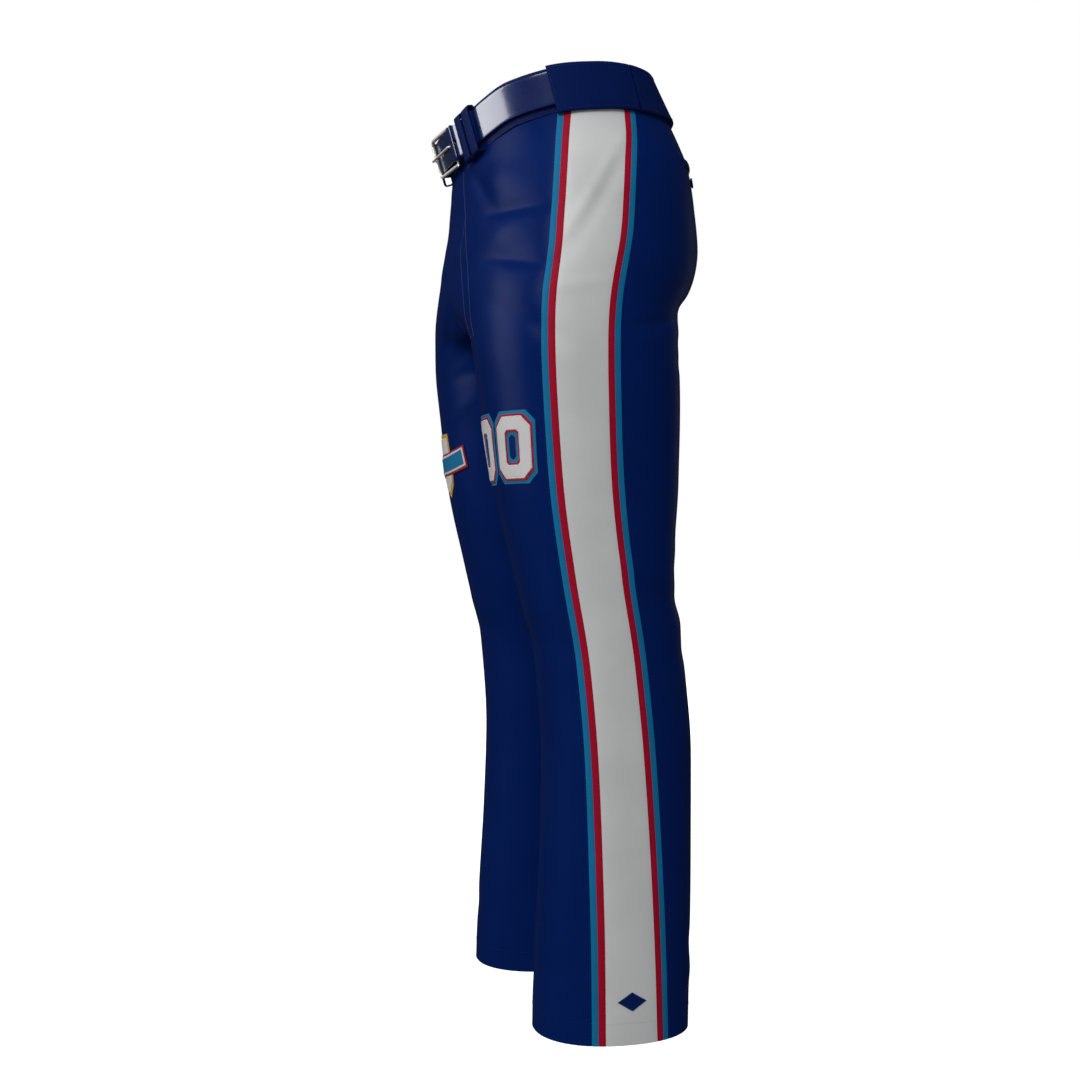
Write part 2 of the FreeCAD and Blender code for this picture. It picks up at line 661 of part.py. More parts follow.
def buckle_prong():
    """An eye round the hinge bar and a pin that comes up through the strap and rests on the frame's end."""
    hinge, end = bar_centre(), ring_point(FRAME_END_AT, FRAME_END_OUT)
    along = (end - hinge).normalize()
    out = along.cross(V(0, 0, 1))
    if out.dot(V(*ring_out(0.0), 0)) < 0:
        out = out * -1
    reach = (end - hinge).Length + 2.4
    lift = FRAME_RADIUS + PRONG_RADIUS + 0.25
    rise = 7.6
    foot = hinge + out * 2.6
    knee = hinge + along * 2.0 + out * rise
    tip = hinge + along * reach + out * lift
    eye = Part.makeCylinder(BAR_RADIUS + 1.55, 4.4, hinge - V(0, 0, 2.2), V(0, 0, 1))
    pin = [rod(foot, knee, PRONG_RADIUS), Part.makeSphere(PRONG_RADIUS, knee), rod(knee, tip, PRONG_RADIUS)]
    pin.append(Part.makeSphere(PRONG_RADIUS, tip))
    bore = Part.makeCylinder(BAR_RADIUS + 0.08, 6.0, hinge - V(0, 0, 3.0), V(0, 0, 1))
    return eye.fuse(pin).cut(bore)


def rod(a, b, radius):
    return Part.makeCylinder(radius, (b - a).Length, a, b - a)


def belt_keeper():
    """A leather ring round the strap, the chape and the tail."""
    half = STRAP_HALF + 0.5
    whole = band(KEEPER_FROM, KEEPER_TO, 0.3, 13.4, -half - 1.6, half + 1.6, 3.0)
    bore = band(KEEPER_FROM - 1, KEEPER_TO + 1, 1.5, 11.8, -half, half, 3.0)
    return whole.cut(bore)


def belt_parts():
    made = {
        "belt_strap": belt_strap(),
        "belt_chape": belt_chape(),
        "chape_rivets": chape_rivets(),
        "belt_keeper": belt_keeper(),
        "buckle_frame": buckle_frame(),
        "buckle_prong": buckle_prong(),
    }
    return {name: on_waist(shape) for name, shape in made.items()}


# ---------------------------------------------------------------- fly
def fly_block(x0, x1, depth0, depth1, low, high):
    """A block in the fly's own frame: x across, depth into the pants, heights down from the waist seam."""
    return Part.makeBox(x1 - x0, depth1 - depth0, high - low, V(x0, depth0, low))


def on_fly(shape):
    """Moves a shape from the fly's frame, whose +Z runs up the chain, to the front of the pants."""
    shape = shape.copy()
    turn = FreeCAD.Rotation(V(1, 0, 0), -FLY_LEAN)
    place = FreeCAD.Placement(V(0, FLY_TOP_Y - ORIGIN_Y, FLY_TOP_Z), turn)
    shape.Placement = place.multiply(shape.Placement)
    return shape


def zip_teeth(sign):
    count = int(CHAIN_LENGTH / TOOTH_PITCH)
    shift = 0.0 if sign > 0 else TOOTH_PITCH / 2
    teeth = []
    for k in range(count):
        top = CHAIN_TOP - shift - k * TOOTH_PITCH
        a, b = sorted((0.7 * sign, 2.5 * sign))
        teeth.append(fly_block(a, b, CHAIN_DEPTH - 0.9, CHAIN_DEPTH + 0.9, top - 1.4, top))
    return Part.makeCompound(teeth)


def zip_slider():
    """Two shield-shaped plates joined by a thin post that runs between the rows of teeth, and a bail."""
    top, tall, wide = CHAIN_TOP + 4.0, 12.0, 4.3
    right = [(wide - 1.2, top), (wide, top - 4), (2.9, top - tall)]
    outline = right + [(-x, z) for x, z in reversed(right)]
    plates = []
    for start in (CHAIN_DEPTH - 2.6, CHAIN_DEPTH + 1.3):
        wire = Part.makePolygon([V(x, start, z) for x, z in outline + outline[:1]])
        plates.append(Part.Face(wire).extrude(V(0, 1.3, 0)))
    post = fly_block(-0.4, 0.4, CHAIN_DEPTH - 1.4, CHAIN_DEPTH + 1.4, top - 3.0, top - 0.5)
    face = CHAIN_DEPTH - 2.6
    bail = fly_block(-0.8, 0.8, face - 3.2, face + 0.2, PULL_AXIS_UP - 3.0, PULL_AXIS_UP + 3.0)
    bail = bail.cut(fly_block(-1.0, 1.0, face - 2.0, face, PULL_AXIS_UP - 1.6, PULL_AXIS_UP + 1.6))
    return plates[0].fuse([plates[1], post, bail])


def zip_pull():
    """A flat tab with a round cross bar that turns inside the slider's bail."""
    half = 0.6
    near, far = PULL_AXIS_DEPTH - half, PULL_AXIS_DEPTH + half
    tab = fly_block(-3.4, 3.4, near, far, PULL_AXIS_UP - 18.0, PULL_AXIS_UP)
    tab = tab.cut(fly_block(-1.2, 1.2, 0.0, 9.0, PULL_AXIS_UP - 5.0, PULL_AXIS_UP + 1.0))
    tab = tab.cut(fly_block(-1.6, 1.6, 0.0, 9.0, PULL_AXIS_UP - 15.5, PULL_AXIS_UP - 7.5))
    return tab.fuse(Part.makeCylinder(half, 6.8, V(-3.4, PULL_AXIS_DEPTH, PULL_AXIS_UP), V(1, 0, 0)))


def fly_parts():
    bottom = CHAIN_TOP - CHAIN_LENGTH
    tape = (CHAIN_DEPTH - 0.35, CHAIN_DEPTH + 0.35)
    stops = [
        fly_block(-2.5, -1.1, CHAIN_DEPTH - 1.1, CHAIN_DEPTH + 1.1, CHAIN_TOP + 5.0, CHAIN_TOP + 7.0),
        fly_block(1.1, 2.5, CHAIN_DEPTH - 1.1, CHAIN_DEPTH + 1.1, CHAIN_TOP + 5.0, CHAIN_TOP + 7.0),
        fly_block(-2.5, 2.5, CHAIN_DEPTH - 1.1, CHAIN_DEPTH + 1.1, bottom - 6.0, bottom - 2.5),
    ]
    made = {
        "fly_facing": fly_block(-2.0, 36.0, 0.0, 0.9, bottom - 8.0, -2.0),
        "fly_shield": fly_block(-36.0, 8.0, 13.0, 14.0, bottom - 8.0, -2.0),
        "zip_tape_left": fly_block(2.55, 14.0, *tape, bottom - 6.0, 0.0),
        "zip_tape_right": fly_block(-14.0, -2.55, *tape, bottom - 6.0, 0.0),
        "zip_teeth_left": zip_teeth(1),
        "zip_teeth_right": zip_teeth(-1),
        "zip_stops": Part.makeCompound(stops),
        "zip_slider": zip_slider(),
        "zip_pull": zip_pull(),
    }
    return {name: on_fly(shape) for name, shape in made.items()}


# ---------------------------------------------------------------- everything
def all_parts():
    parts = body_parts()
    parts.update(number_layers())
    parts.update(emblem_layers())
    parts["hem_badge"] = hem_badge()
    parts.update(waist_parts())
    parts.update(belt_parts())
    parts.update(fly_parts())
    return parts


def main():
    os.makedirs(OUT, exist_ok=True)
    low, high = V(1e9, 1e9, 1e9), V(-1e9, -1e9, -1e9)
    parts = all_parts()
    for name, shape in parts.items():
        box = shape.BoundBox
        low = V(min(low.x, box.XMin), min(low.y, box.YMin), min(low.z, box.ZMin))
        high = V(max(high.x, box.XMax), max(high.y, box.YMax), max(high.z, box.ZMax))
        if not shape.isValid() or not shape.Solids:
            print("check this piece:", name)
        shape.exportStep(f"{OUT}/{name}.step")
    print(len(parts), "pieces, from", low, "to", high)
    axis = waist_vector(V(0, 0, 1))
    print("buckle hinge", waist_point(bar_centre()), "axis", axis)
    turn = FreeCAD.Rotation(V(1, 0, 0), -FLY_LEAN)
    pull = turn.multVec(V(0, PULL_AXIS_DEPTH, PULL_AXIS_UP)) + V(0, FLY_TOP_Y - ORIGIN_Y, FLY_TOP_Z)
    print("pull hinge", pull, "zip runs down along", turn.multVec(V(0, 0, -1)))


main()
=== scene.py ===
"""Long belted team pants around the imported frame: knit legs, braids, twill marks, belt and stitching.

The cloth is drawn in millimetres, as the CAD is, and turned into metres where a mesh is made.
Places on a leg are (s, z): s runs round the cloth from the side line, forwards positive, and z is up.
Places on the waist are (s, out, up) in the sloping waist frame, s from the centre front leftwards.
"""

import json
import math

import bmesh
import bpy
import numpy as np
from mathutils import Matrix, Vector, noise

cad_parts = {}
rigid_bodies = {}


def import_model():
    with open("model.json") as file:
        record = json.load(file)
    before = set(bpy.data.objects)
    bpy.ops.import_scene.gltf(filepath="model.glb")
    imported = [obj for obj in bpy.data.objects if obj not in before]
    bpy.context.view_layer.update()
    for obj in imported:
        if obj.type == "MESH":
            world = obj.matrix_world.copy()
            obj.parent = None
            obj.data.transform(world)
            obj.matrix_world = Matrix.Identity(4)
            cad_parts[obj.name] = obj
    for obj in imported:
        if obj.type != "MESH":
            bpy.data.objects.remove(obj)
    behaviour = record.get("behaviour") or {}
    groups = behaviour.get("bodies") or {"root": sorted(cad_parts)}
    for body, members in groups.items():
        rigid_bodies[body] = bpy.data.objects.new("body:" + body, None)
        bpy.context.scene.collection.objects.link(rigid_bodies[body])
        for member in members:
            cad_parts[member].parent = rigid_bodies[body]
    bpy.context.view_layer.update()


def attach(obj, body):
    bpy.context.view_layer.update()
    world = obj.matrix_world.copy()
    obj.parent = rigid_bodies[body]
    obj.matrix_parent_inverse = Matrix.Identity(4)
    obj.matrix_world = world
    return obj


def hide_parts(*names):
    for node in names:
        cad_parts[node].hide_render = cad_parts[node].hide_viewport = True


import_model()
MM = 0.001
SIDES = ((1, "left_"), (-1, "right_"))

# ---------------------------------------------------------------- the CAD's own drawing rows
ORIGIN_Y = 27.31
ROUNDNESS = 2.2
CROTCH = 765.0
WAIST_TILT = math.radians(16.0)
TILT_START = 780.0
WAIST_SEAM = 1003.7
# height: outer side, inner side, side line (y), front, back
SECTIONS = {
    0.0: (212.0, 64.0, 43.6, -44.2, 128.6),
    100.0: (210.0, 62.0, 42.1, -40.3, 132.0),
    200.0: (208.0, 60.0, 38.8, -34.5, 134.3),
    300.0: (206.0, 58.0, 33.6, -31.5, 135.2),
    400.0: (204.0, 55.0, 24.5, -38.3, 128.0),
    500.0: (204.0, 43.0, 8.3, -61.0, 117.9),
    600.0: (206.0, 29.0, -4.5, -83.6, 125.9),
    700.0: (209.0, 13.0, -10.4, -97.2, 128.8),
    740.0: (209.0, 8.0, -11.5, -102.8, 128.3),
    765.0: (209.0, 0.0, -11.8, -106.0, 128.0),
    780.0: (208.0, -50.0, -11.0, -108.3, 132.3),
    800.0: (206.0, -100.0, -8.4, -110.9, 146.5),
    830.0: (203.0, -160.0, -2.5, -111.7, 170.0),
    860.0: (199.0, -199.0, 3.2, -111.2, 180.8),
    900.0: (192.0, -192.0, 8.2, -106.9, 176.5),
    940.0: (183.0, -183.0, 13.4, -102.6, 169.3),
    970.0: (173.0, -173.0, 17.9, -102.0, 159.0),
    1003.7: (161.0, -161.0, 22.0, -100.1, 145.0),
}
STRIPE_WIDTH = [
    (0.0, 58.5), (150.0, 55.0), (400.0, 50.0), (600.0, 53.5), (700.0, 57.0), (800.0, 60.0), (890.0, 65.5),
    (960.0, 65.5), (WAIST_SEAM, 61.0),
]
RED_BRAID, BLUE_BRAID = 7.8, 7.2
WAIST_Y, WAIST_Z = 15.7, 1027.6
RING_WIDE, RING_FRONT, RING_BACK = 161.0, 127.0, 116.0
# the band's lower edge is 2.9 mm lower than the CAD's, so that it laps the leg cloth
BAND_LOW, BAND_HIGH = -26.4, 22.0
# how far the waist rises out of its sloping plane, at each place round from the centre front
WAIST_RISE = [
    (0.0, 0.0), (50.0, 0.0), (100.0, 7.0), (140.0, 12.5), (183.0, 11.5), (240.0, 3.5), (280.0, -4.5),
    (310.0, -9.5), (370.0, -13.0), (459.0, -15.0),
]
RISE_START, WAIST_FLARE = 900.0, 0.22
FLARE_FROM, FLARE_TO = 280.0, 380.0
UNDERLAP_FROM, UNDERLAP_TO = -15.0, 34.0
STRAP_HALF, STRAP_THICK, STRAP_LIE, CHAPE_LIE = 17.8, 2.4, 1.8, 3.6
TAIL_OVER_BAR, TAIL_LIE, TAIL_END, STRAP_START = 8.9, 5.6, 84.5, 30.5
BAR_AT, BAR_OUT, BAR_RADIUS = 26.0, 4.9, 1.8
HOLE_COUNT, HOLE_PITCH, HOLE_RADIUS, FIRST_HOLE, PRONG_HOLE = 5, 25.0, 2.4, -30.0, 2
KEEPER_FROM, KEEPER_TO = 33.0, 42.8
LOOP_LOW, LOOP_HIGH, LOOP_OUT, TUNNEL_OUT, FOLD_CLOTH = -28.0, 24.0, 10.0, 5.2, 1.1
LOOP_SPANS = [(55.0, 68.0), (72.0, 85.0)]
SIDE_TUNNEL, BACK_TUNNEL = (186.0, 279.0), 172.0
LAYER, LAYER_FLOOR, LAYER_PITCH = 0.4, 0.3, 0.5
NUMBER_HEIGHT, DIGIT_PLACES = 635.0, (84.0, 149.0)
DIGIT_WIDE, DIGIT_HIGH, DIGIT_STROKE = 50.4, 66.4, 14.6
EMBLEM_HEIGHT, EMBLEM_PLACE, BADGE_HEIGHT = 630.0, 132.0, 46.0
WELT_HEIGHTS, WELT_SPAN, BAG_DEEP = (936.0, 948.0), (-138.0, -248.0), 145.0
FLY_TOP_Y, FLY_TOP_Z, FLY_LEAN = -94.0, 962.0, math.radians(4.0)
CHAIN_LENGTH, CHAIN_TOP, CHAIN_DEPTH = 112.0, -10.0, 9.5

# ---------------------------------------------------------------- cloth numbers
CLOTH = 1.5              # thickness of the knit
SEAM_LAP = 0.05          # how far each side's cloth passes the middle seam
ROW_STEP = 4.5           # height of a row of cloth faces
SEAM_DIP = 0.35          # how far a seam sinks into the cloth


def smooth(t):
    t = np.clip(t, 0.0, 1.0)
    return t * t * (3 - 2 * t)


def through(rows, x):
    """The CAD's curve through rows of (x, value), at x."""
    if x <= rows[0][0]:
        return rows[0][1]
    if x >= rows[-1][0]:
        return rows[-1][1]
    slopes = [(b[1] - a[1]) / (b[0] - a[0]) for a, b in zip(rows, rows[1:])]
    bends = [slopes[0]]
    for s, t in zip(slopes, slopes[1:]):
        bends.append(0.0 if s * t <= 0 else 2 * s * t / (s + t))
    bends.append(slopes[-1])
    i = max(k for k in range(len(rows) - 1) if rows[k][0] <= x)
    step = rows[i + 1][0] - rows[i][0]
    t = (x - rows[i][0]) / step
    return (
        rows[i][1] * (1 + 2 * t) * (1 - t) ** 2
        + bends[i] * step * t * (1 - t) ** 2
        + rows[i + 1][1] * t * t * (3 - 2 * t)
        + bends[i + 1] * step * t * t * (t - 1)
    )


def half_stripe(height):
    return through(STRIPE_WIDTH, height) / 2


def ring_table():
    """(length from the centre front, x, y) round the left half of the waist ring."""
    turn = np.linspace(0, math.pi / 2, 201)
    reach = np.abs(np.cos(turn)) ** (2 / ROUNDNESS)
    wide = RING_WIDE * np.sin(turn) ** (2 / ROUNDNESS)
    x = np.append(wide, wide[-2::-1])
    y = np.append(-RING_FRONT * reach, RING_BACK * reach[-2::-1])
    return np.append(0, np.cumsum(np.hypot(np.diff(x), np.diff(y)))), x, y


RING = ring_table()
HALF_ROUND = RING[0][-1]
FULL_ROUND = 2 * HALF_ROUND
SIDE_PLACE = RING[0][200]
RISE_STEPS = np.arange(0.0, HALF_ROUND + 1.0)
RISES = [through(WAIST_RISE, step) for step in RISE_STEPS]


def wrapped(s):
    return (np.asarray(s, float) + HALF_ROUND) % FULL_ROUND - HALF_ROUND


def waist_rise(s):
    return np.interp(np.abs(wrapped(s)), RISE_STEPS, RISES)


class Outline:
    """The left half's section at one height, as lengths along the cloth from the side line."""

    def __init__(self, height):
        rows = sorted(SECTIONS)
        outer, inner, side, front, back = (
            through([(h, SECTIONS[h][k]) for h in rows], height) for k in range(5)
        )
        turn = np.linspace(0, math.pi, 361)
        c, s = np.cos(turn), np.sin(turn)
        x = (outer + inner) / 2 + (outer - inner) / 2 * np.sign(c) * np.abs(c) ** (2 / ROUNDNESS)
        self.height, self.side = height, side
        self.slope = math.tan(WAIST_TILT) * float(smooth((height - TILT_START) / (WAIST_SEAM - TILT_START)))
        self.rise = float(smooth((height - RISE_START) / (WAIST_SEAM - RISE_START)))
        self.runs = {}
        for way, depth in ((1, front - side), (-1, back - side)):
            y = side + depth * np.abs(s) ** (2 / ROUNDNESS)
            px, py = x, y
            if x[-1] < 0:
                last = int(np.argmax(x < 0))
                share = x[last - 1] / (x[last - 1] - x[last])
                px = np.append(x[:last], 0.0)
                py = np.append(y[:last], y[last - 1] + (y[last] - y[last - 1]) * share)
            length = np.append(0.0, np.cumsum(np.hypot(np.diff(px), np.diff(py))))
            self.runs[way] = (length, px, py)

    def end(self, way):
        return self.runs[way][0][-1]

    def points(self, s):
        s = np.asarray(s, float)
        xyz = np.zeros(s.shape + (3,))
        for way in (1, -1):
            pick = s >= 0 if way == 1 else s < 0
            length, px, py = self.runs[way]
            here = np.abs(s[pick])
            y = np.interp(here, length, py)
            z = self.height + self.slope * (y - self.side) + self.rise * waist_rise(SIDE_PLACE - s[pick])
            xyz[pick] = np.stack([np.interp(here, length, px), y - ORIGIN_Y, z], -1)
        return xyz


# heights of the stored sections, close together round the fork
LATTICE = np.unique(
    np.concatenate([np.arange(0, 760, 5), np.arange(760, 800, 0.5), np.arange(800, 1003, 3), [WAIST_SEAM]])
)
OUTLINES = [Outline(float(h)) for h in LATTICE]
ENDS = {way: np.array([o.end(way) for o in OUTLINES]) for way in (1, -1)}


def flat_points(s, z):
    """Points of the plain left surface at arrays s and z."""
    s, z = np.broadcast_arrays(np.asarray(s, float), np.asarray(z, float))
    shape = s.shape
    s, z = s.ravel(), np.clip(z.ravel(), 0, WAIST_SEAM)
    low = np.clip(np.searchsorted(LATTICE, z, side="right") - 1, 0, len(LATTICE) - 2)
    share = (z - LATTICE[low]) / (LATTICE[low + 1] - LATTICE[low])
    found = np.zeros((len(s), 3))
    for i in np.unique(low):
        pick = low == i
        a, b = OUTLINES[i].points(s[pick]), OUTLINES[i + 1].points(s[pick])
        found[pick] = a + (b - a) * share[pick, None]
    return found.reshape(shape + (3,))


# ---------------------------------------------------------------- how the cloth hangs
# each fold: place s, height z, reach along it, reach across it, tilt in degrees, height of the fold
LEFT_FOLDS = [
    (114, 948, 32, 18, 30, 3.4),
    (158, 962, 48, 9, 56, -3.6),
    (98, 911, 44, 8, 8, -3.4),
    (152, 982, 26, 6, 40, -1.4),
    (106, 880, 34, 18, 4, 3.0),
    (90, 843, 46, 8, 16, -2.8),
    (98, 808, 44, 22, 20, 2.8),
    (66, 772, 56, 10, 28, -2.0),
    (5, 909, 64, 7, -61, 1.5),
    (-8, 902, 60, 9, -61, -1.5),
    (12, 806, 40, 7, -10, 0.8),
    (-112, 776, 44, 7, -12, -2.6),
]
RIGHT_FOLDS = [
    (120, 942, 34, 18, 24, 3.0),
    (156, 948, 48, 9, 50, -3.0),
    (106, 903, 44, 8, 10, -3.0),
    (108, 872, 36, 17, 2, 2.8),
    (98, 836, 46, 9, 12, -2.6),
    (100, 798, 46, 22, 16, 2.6),
    (-6, 900, 60, 9, -60, 1.3),
    (-118, 770, 44, 7, -10, -2.4),
]
BOTH_FOLDS = [
    (-205, 800, 90, 9, -6, -3.4),
    (-200, 776, 80, 10, -10, 1.6),
    (-250, 748, 60, 9, -24, -1.6),
    (-190, 730, 70, 9, 4, -1.0),
    (235, 790, 46, 8, 30, -1.8),
    (240, 772, 46, 8, 18, 1.2),
    (250, 742, 50, 8, 12, -1.6),
    (215, 700, 60, 10, 24, 1.0),
    (-130, 470, 60, 12, 6, -1.6),
    (-125, 445, 60, 12, 2, 1.4),
    (-140, 415, 60, 12, -6, -1.5),
    (-60, 500, 60, 14, 14, 0.9),
    (-110, 520, 60, 14, -8, 1.0),
    (120, 455, 60, 14, -8, 0.9),
    (110, 425, 60, 12, 4, -0.8),
    (-120, 90, 50, 14, 8, -1.0),
    (-110, 62, 50, 12, 4, 0.9),
    (110, 70, 60, 14, -10, -0.9),
]
# how fast the cloth's slight unevenness changes round the leg and up it
WANDER_ROUND, WANDER_UP = 0.012, 0.006


def fold_height(s, z, folds):
    total = np.zeros(np.broadcast(s, z).shape)
    for s0, z0, along, across, tilt, height in folds:
        c, t = math.cos(math.radians(tilt)), math.sin(math.radians(tilt))
        u = ((s - s0) * c + (z - z0) * t) / along
        v = ((z - z0) * c - (s - s0) * t) / across
        total += height * np.exp(-u * u - v * v)
    return total


def drape(side, s, z):
    """How far the worn cloth stands out from the plain surface."""
    calm = smooth((WAIST_SEAM - z) / 40) * smooth(z / 30)
    places = zip(s.ravel(), z.ravel())
    wander = [noise.noise(Vector((a * WANDER_ROUND, b * WANDER_UP, 4.0 * side))) for a, b in places]
    folds = (LEFT_FOLDS if side > 0 else RIGHT_FOLDS) + BOTH_FOLDS
    return (fold_height(s, z, folds) + np.reshape(wander, s.shape)) * calm


def unit(vectors):
    return vectors / np.maximum(np.linalg.norm(vectors, axis=-1, keepdims=True), 1e-9)


def grid_normals(points):
    """Unit normals of a grid of points whose rows climb and whose columns run backwards."""
    return unit(np.cross(np.gradient(points, axis=1), np.gradient(points, axis=0)))


def leg_place(side, s, z, out=0.0):
    """Points out from a leg's draped surface, and the directions that face out of it."""
    s, z, out = np.broadcast_arrays(np.asarray(s, float), np.asarray(z, float), np.asarray(out, float))
    ahead = flat_points(s + 1.5, z) - flat_points(s - 1.5, z)
    above = flat_points(s, z + 1.5) - flat_points(s, z - 1.5)
    normal = unit(np.cross(above, ahead))
    points = flat_points(s, z) + normal * (drape(side, s, z) + out)[..., None]
    hand = np.array([side, 1.0, 1.0])
    return points * hand, normal * hand


# outer heights where the rows start to fan out, meet the fork, and fan back; and how far the last one rises
FAN_FROM, FAN_FORK, FAN_TO, FAN_RISE = 690.0, 735.0, 825.0, 32.0


def inner_height(z):
    """Height of the inner end of the row whose outer part is at z: rows fan out round the fork."""
    if z < FAN_FROM:
        return z
    if z < FAN_FORK:
        return FAN_FROM + (CROTCH - FAN_FROM) * (z - FAN_FROM) / (FAN_FORK - FAN_FROM)
    top = CROTCH + FAN_RISE
    if z < FAN_TO:
        return CROTCH + FAN_RISE * ((z - FAN_FORK) / (FAN_TO - FAN_FORK)) ** 2
    return top + (z - FAN_TO) * (WAIST_SEAM - top) / (WAIST_SEAM - FAN_TO)


COLUMN_RUNS = [
    ("front_panel", 46), ("front_blue_braid", 3), ("front_red_braid", 3), ("side_panel", 16),
    ("back_red_braid", 3), ("back_blue_braid", 3), ("back_panel", 56),
]


class LegCloth:
    """The whole of one side's cloth as a single grid, from the front inner seam round to the back one."""

    def __init__(self, side):
        rows = np.unique(np.concatenate([[0, 1.5], np.linspace(4, WAIST_SEAM, int(WAIST_SEAM / ROW_STEP))]))
        self.s = np.array([self.row_places(z) for z in rows])
        fan = np.array([inner_height(z) for z in rows])
        ends = np.where(self.s > 0, self.s[:, :1], self.s[:, -1:])
        share = smooth((np.abs(self.s / ends) - 0.35) / 0.65)
        self.z = rows[:, None] + (fan - rows)[:, None] * share
        points = self.relaxed(flat_points(self.s, self.z))
        normals = grid_normals(points)
        points = points + normals * (drape(side, self.s, self.z) + self.seam_field())[..., None]
        middle = np.isin(np.arange(points.shape[1]), (0, points.shape[1] - 1))[None, :] & (self.z >= CROTCH)
        points[..., 0] = np.where(middle, -SEAM_LAP, points[..., 0])
        points[..., 2] = np.where(rows[:, None] < 2, rows[:, None], points[..., 2])
        self.points = points
        self.normals = grid_normals(points)
        if side < 0:
            self.points[..., 0] *= -1
            self.normals[..., 0] *= -1

    def row_places(self, z):
        half = half_stripe(z)
        fan = inner_height(z)
        front = np.interp(fan, LATTICE, ENDS[1])
        back = np.interp(fan, LATTICE, ENDS[-1])
        red, blue = half + RED_BRAID, half + RED_BRAID + BLUE_BRAID
        stops = [front, blue, red, half, -half, -red, -blue, -back]
        places = [stops[0]]
        for (_, count), a, b in zip(COLUMN_RUNS, stops, stops[1:]):
            places += [a + (b - a) * (k + 1) / count for k in range(count)]
        return places

    def relaxed(self, points):
        """Takes the hard crease out of the cloth at the fork's height, away from the inner seams."""
        weight = np.exp(-(((self.z - 770) / 45) ** 2)) * (1 - smooth((np.abs(self.s) - 190) / 60))
        for _ in range(60):
            around = (points[2:] + points[:-2]) / 2
            points[1:-1] += (around - points[1:-1]) * (0.5 * weight[1:-1])[..., None]
        return points

    def seam_field(self):
        dip = np.zeros_like(self.s)
        column = 0
        for _, count in COLUMN_RUNS[:-1]:
            column += count
            dip[:, column] -= SEAM_DIP
        return dip

    def columns(self, name):
        start = 0
        for run, count in COLUMN_RUNS:
            if run == name:
                return slice(start, start + count + 1)
            start += count
        raise ValueError(name)


# ---------------------------------------------------------------- the sloping waist
def ring_flat(s):
    s = wrapped(s)
    x = np.sign(s) * np.interp(np.abs(s), RING[0], RING[1])
    return np.stack([x, np.interp(np.abs(s), RING[0], RING[2])], -1)


def waist_turn(vectors):
    c, n = math.cos(WAIST_TILT), math.sin(WAIST_TILT)
    x, y, z = np.moveaxis(vectors, -1, 0)
    return np.stack([x, y * c - z * n, y * n + z * c], -1)


def waist_place(s, out, up):
    """Points on the sloping waist, and the directions that face out of it."""
    s, out, up = np.broadcast_arrays(np.asarray(s, float), np.asarray(out, float), np.asarray(up, float))
    along = unit(ring_flat(s + 2.0) - ring_flat(s - 2.0))
    outward = np.stack([along[..., 1], -along[..., 0], 0 * s], -1)
    flat = ring_flat(s)
    out = out - up * WAIST_FLARE * smooth((np.abs(wrapped(s)) - FLARE_FROM) / (FLARE_TO - FLARE_FROM))
    local = np.stack([flat[..., 0], flat[..., 1], up + waist_rise(s)], -1) + outward * out[..., None]
    return waist_turn(local) + np.array([0, WAIST_Y - ORIGIN_Y, WAIST_Z]), waist_turn(outward)


def fly_place(x, depth, up):
    """Points in the fly's own frame: depth runs into the pants and up follows the zip."""
    x, depth, up = np.broadcast_arrays(*(np.asarray(v, float) for v in (x, depth, up)))
    c, n = math.cos(FLY_LEAN), -math.sin(FLY_LEAN)
    return np.stack([x, depth * c - up * n + FLY_TOP_Y - ORIGIN_Y, depth * n + up * c + FLY_TOP_Z], -1)


# ---------------------------------------------------------------- meshes
def mesh_object(name, points, faces, uvs=None, crease=50.0):
    """A smooth-shaded mesh from points in millimetres, with hard edges where it turns sharply."""
    mesh = bpy.data.meshes.new(name)
    mesh.from_pydata((np.asarray(points, float) * MM).tolist(), [], faces)
    if uvs is not None:
        layer = mesh.uv_layers.new(name="cloth")
        index = np.zeros(len(mesh.loops), int)
        mesh.loops.foreach_get("vertex_index", index)
        layer.data.foreach_set("uv", (np.asarray(uvs, float)[index] * MM).ravel())
    mesh.polygons.foreach_set("use_smooth", [True] * len(mesh.polygons))
    obj = bpy.data.objects.new(name, mesh)
    bpy.context.scene.collection.objects.link(obj)
    work = bmesh.new()
    work.from_mesh(mesh)
    bmesh.ops.recalc_face_normals(work, faces=work.faces)
    for edge in work.edges:
        if len(edge.link_faces) == 2:
            edge.smooth = edge.calc_face_angle(0.0) < math.radians(crease)
    work.to_mesh(mesh)
    work.free()
    return obj


def lattice_faces(rows, columns, wrap_rows=False, wrap_columns=False):
    """Quads over a grid of vertices numbered row by row, closed round where asked."""
    last_row = rows if wrap_rows else rows - 1
    last_column = columns if wrap_columns else columns - 1
    faces = []
    for i in range(last_row):
        below, above = i * columns, (i + 1) % rows * columns
        for j in range(last_column):
            k = (j + 1) % columns
            faces.append((below + j, below + k, above + k, above + j))
    return faces


def sheet_object(name, points, normals, uvs, thick):
    """A closed sheet from a grid of points: its face, its back, and a rim all round."""
    rows, columns = points.shape[:2]
    count = rows * columns
    faces = lattice_faces(rows, columns)
    faces += [tuple(count + k for k in reversed(face)) for face in faces]
    rim = list(range(columns))
    rim += [i * columns + columns - 1 for i in range(1, rows)]
    rim += [(rows - 1) * columns + j for j in range(columns - 2, -1, -1)]
    rim += [i * columns for i in range(rows - 2, 0, -1)]
    faces += [(b, a, count + a, count + b) for a, b in zip(rim, rim[1:] + rim[:1])]
    both = np.vstack([points.reshape(-1, 3), (points - normals * thick).reshape(-1, 3)])
    flat = uvs.reshape(-1, 2)
    return mesh_object(name, both, faces, np.vstack([flat, flat]))


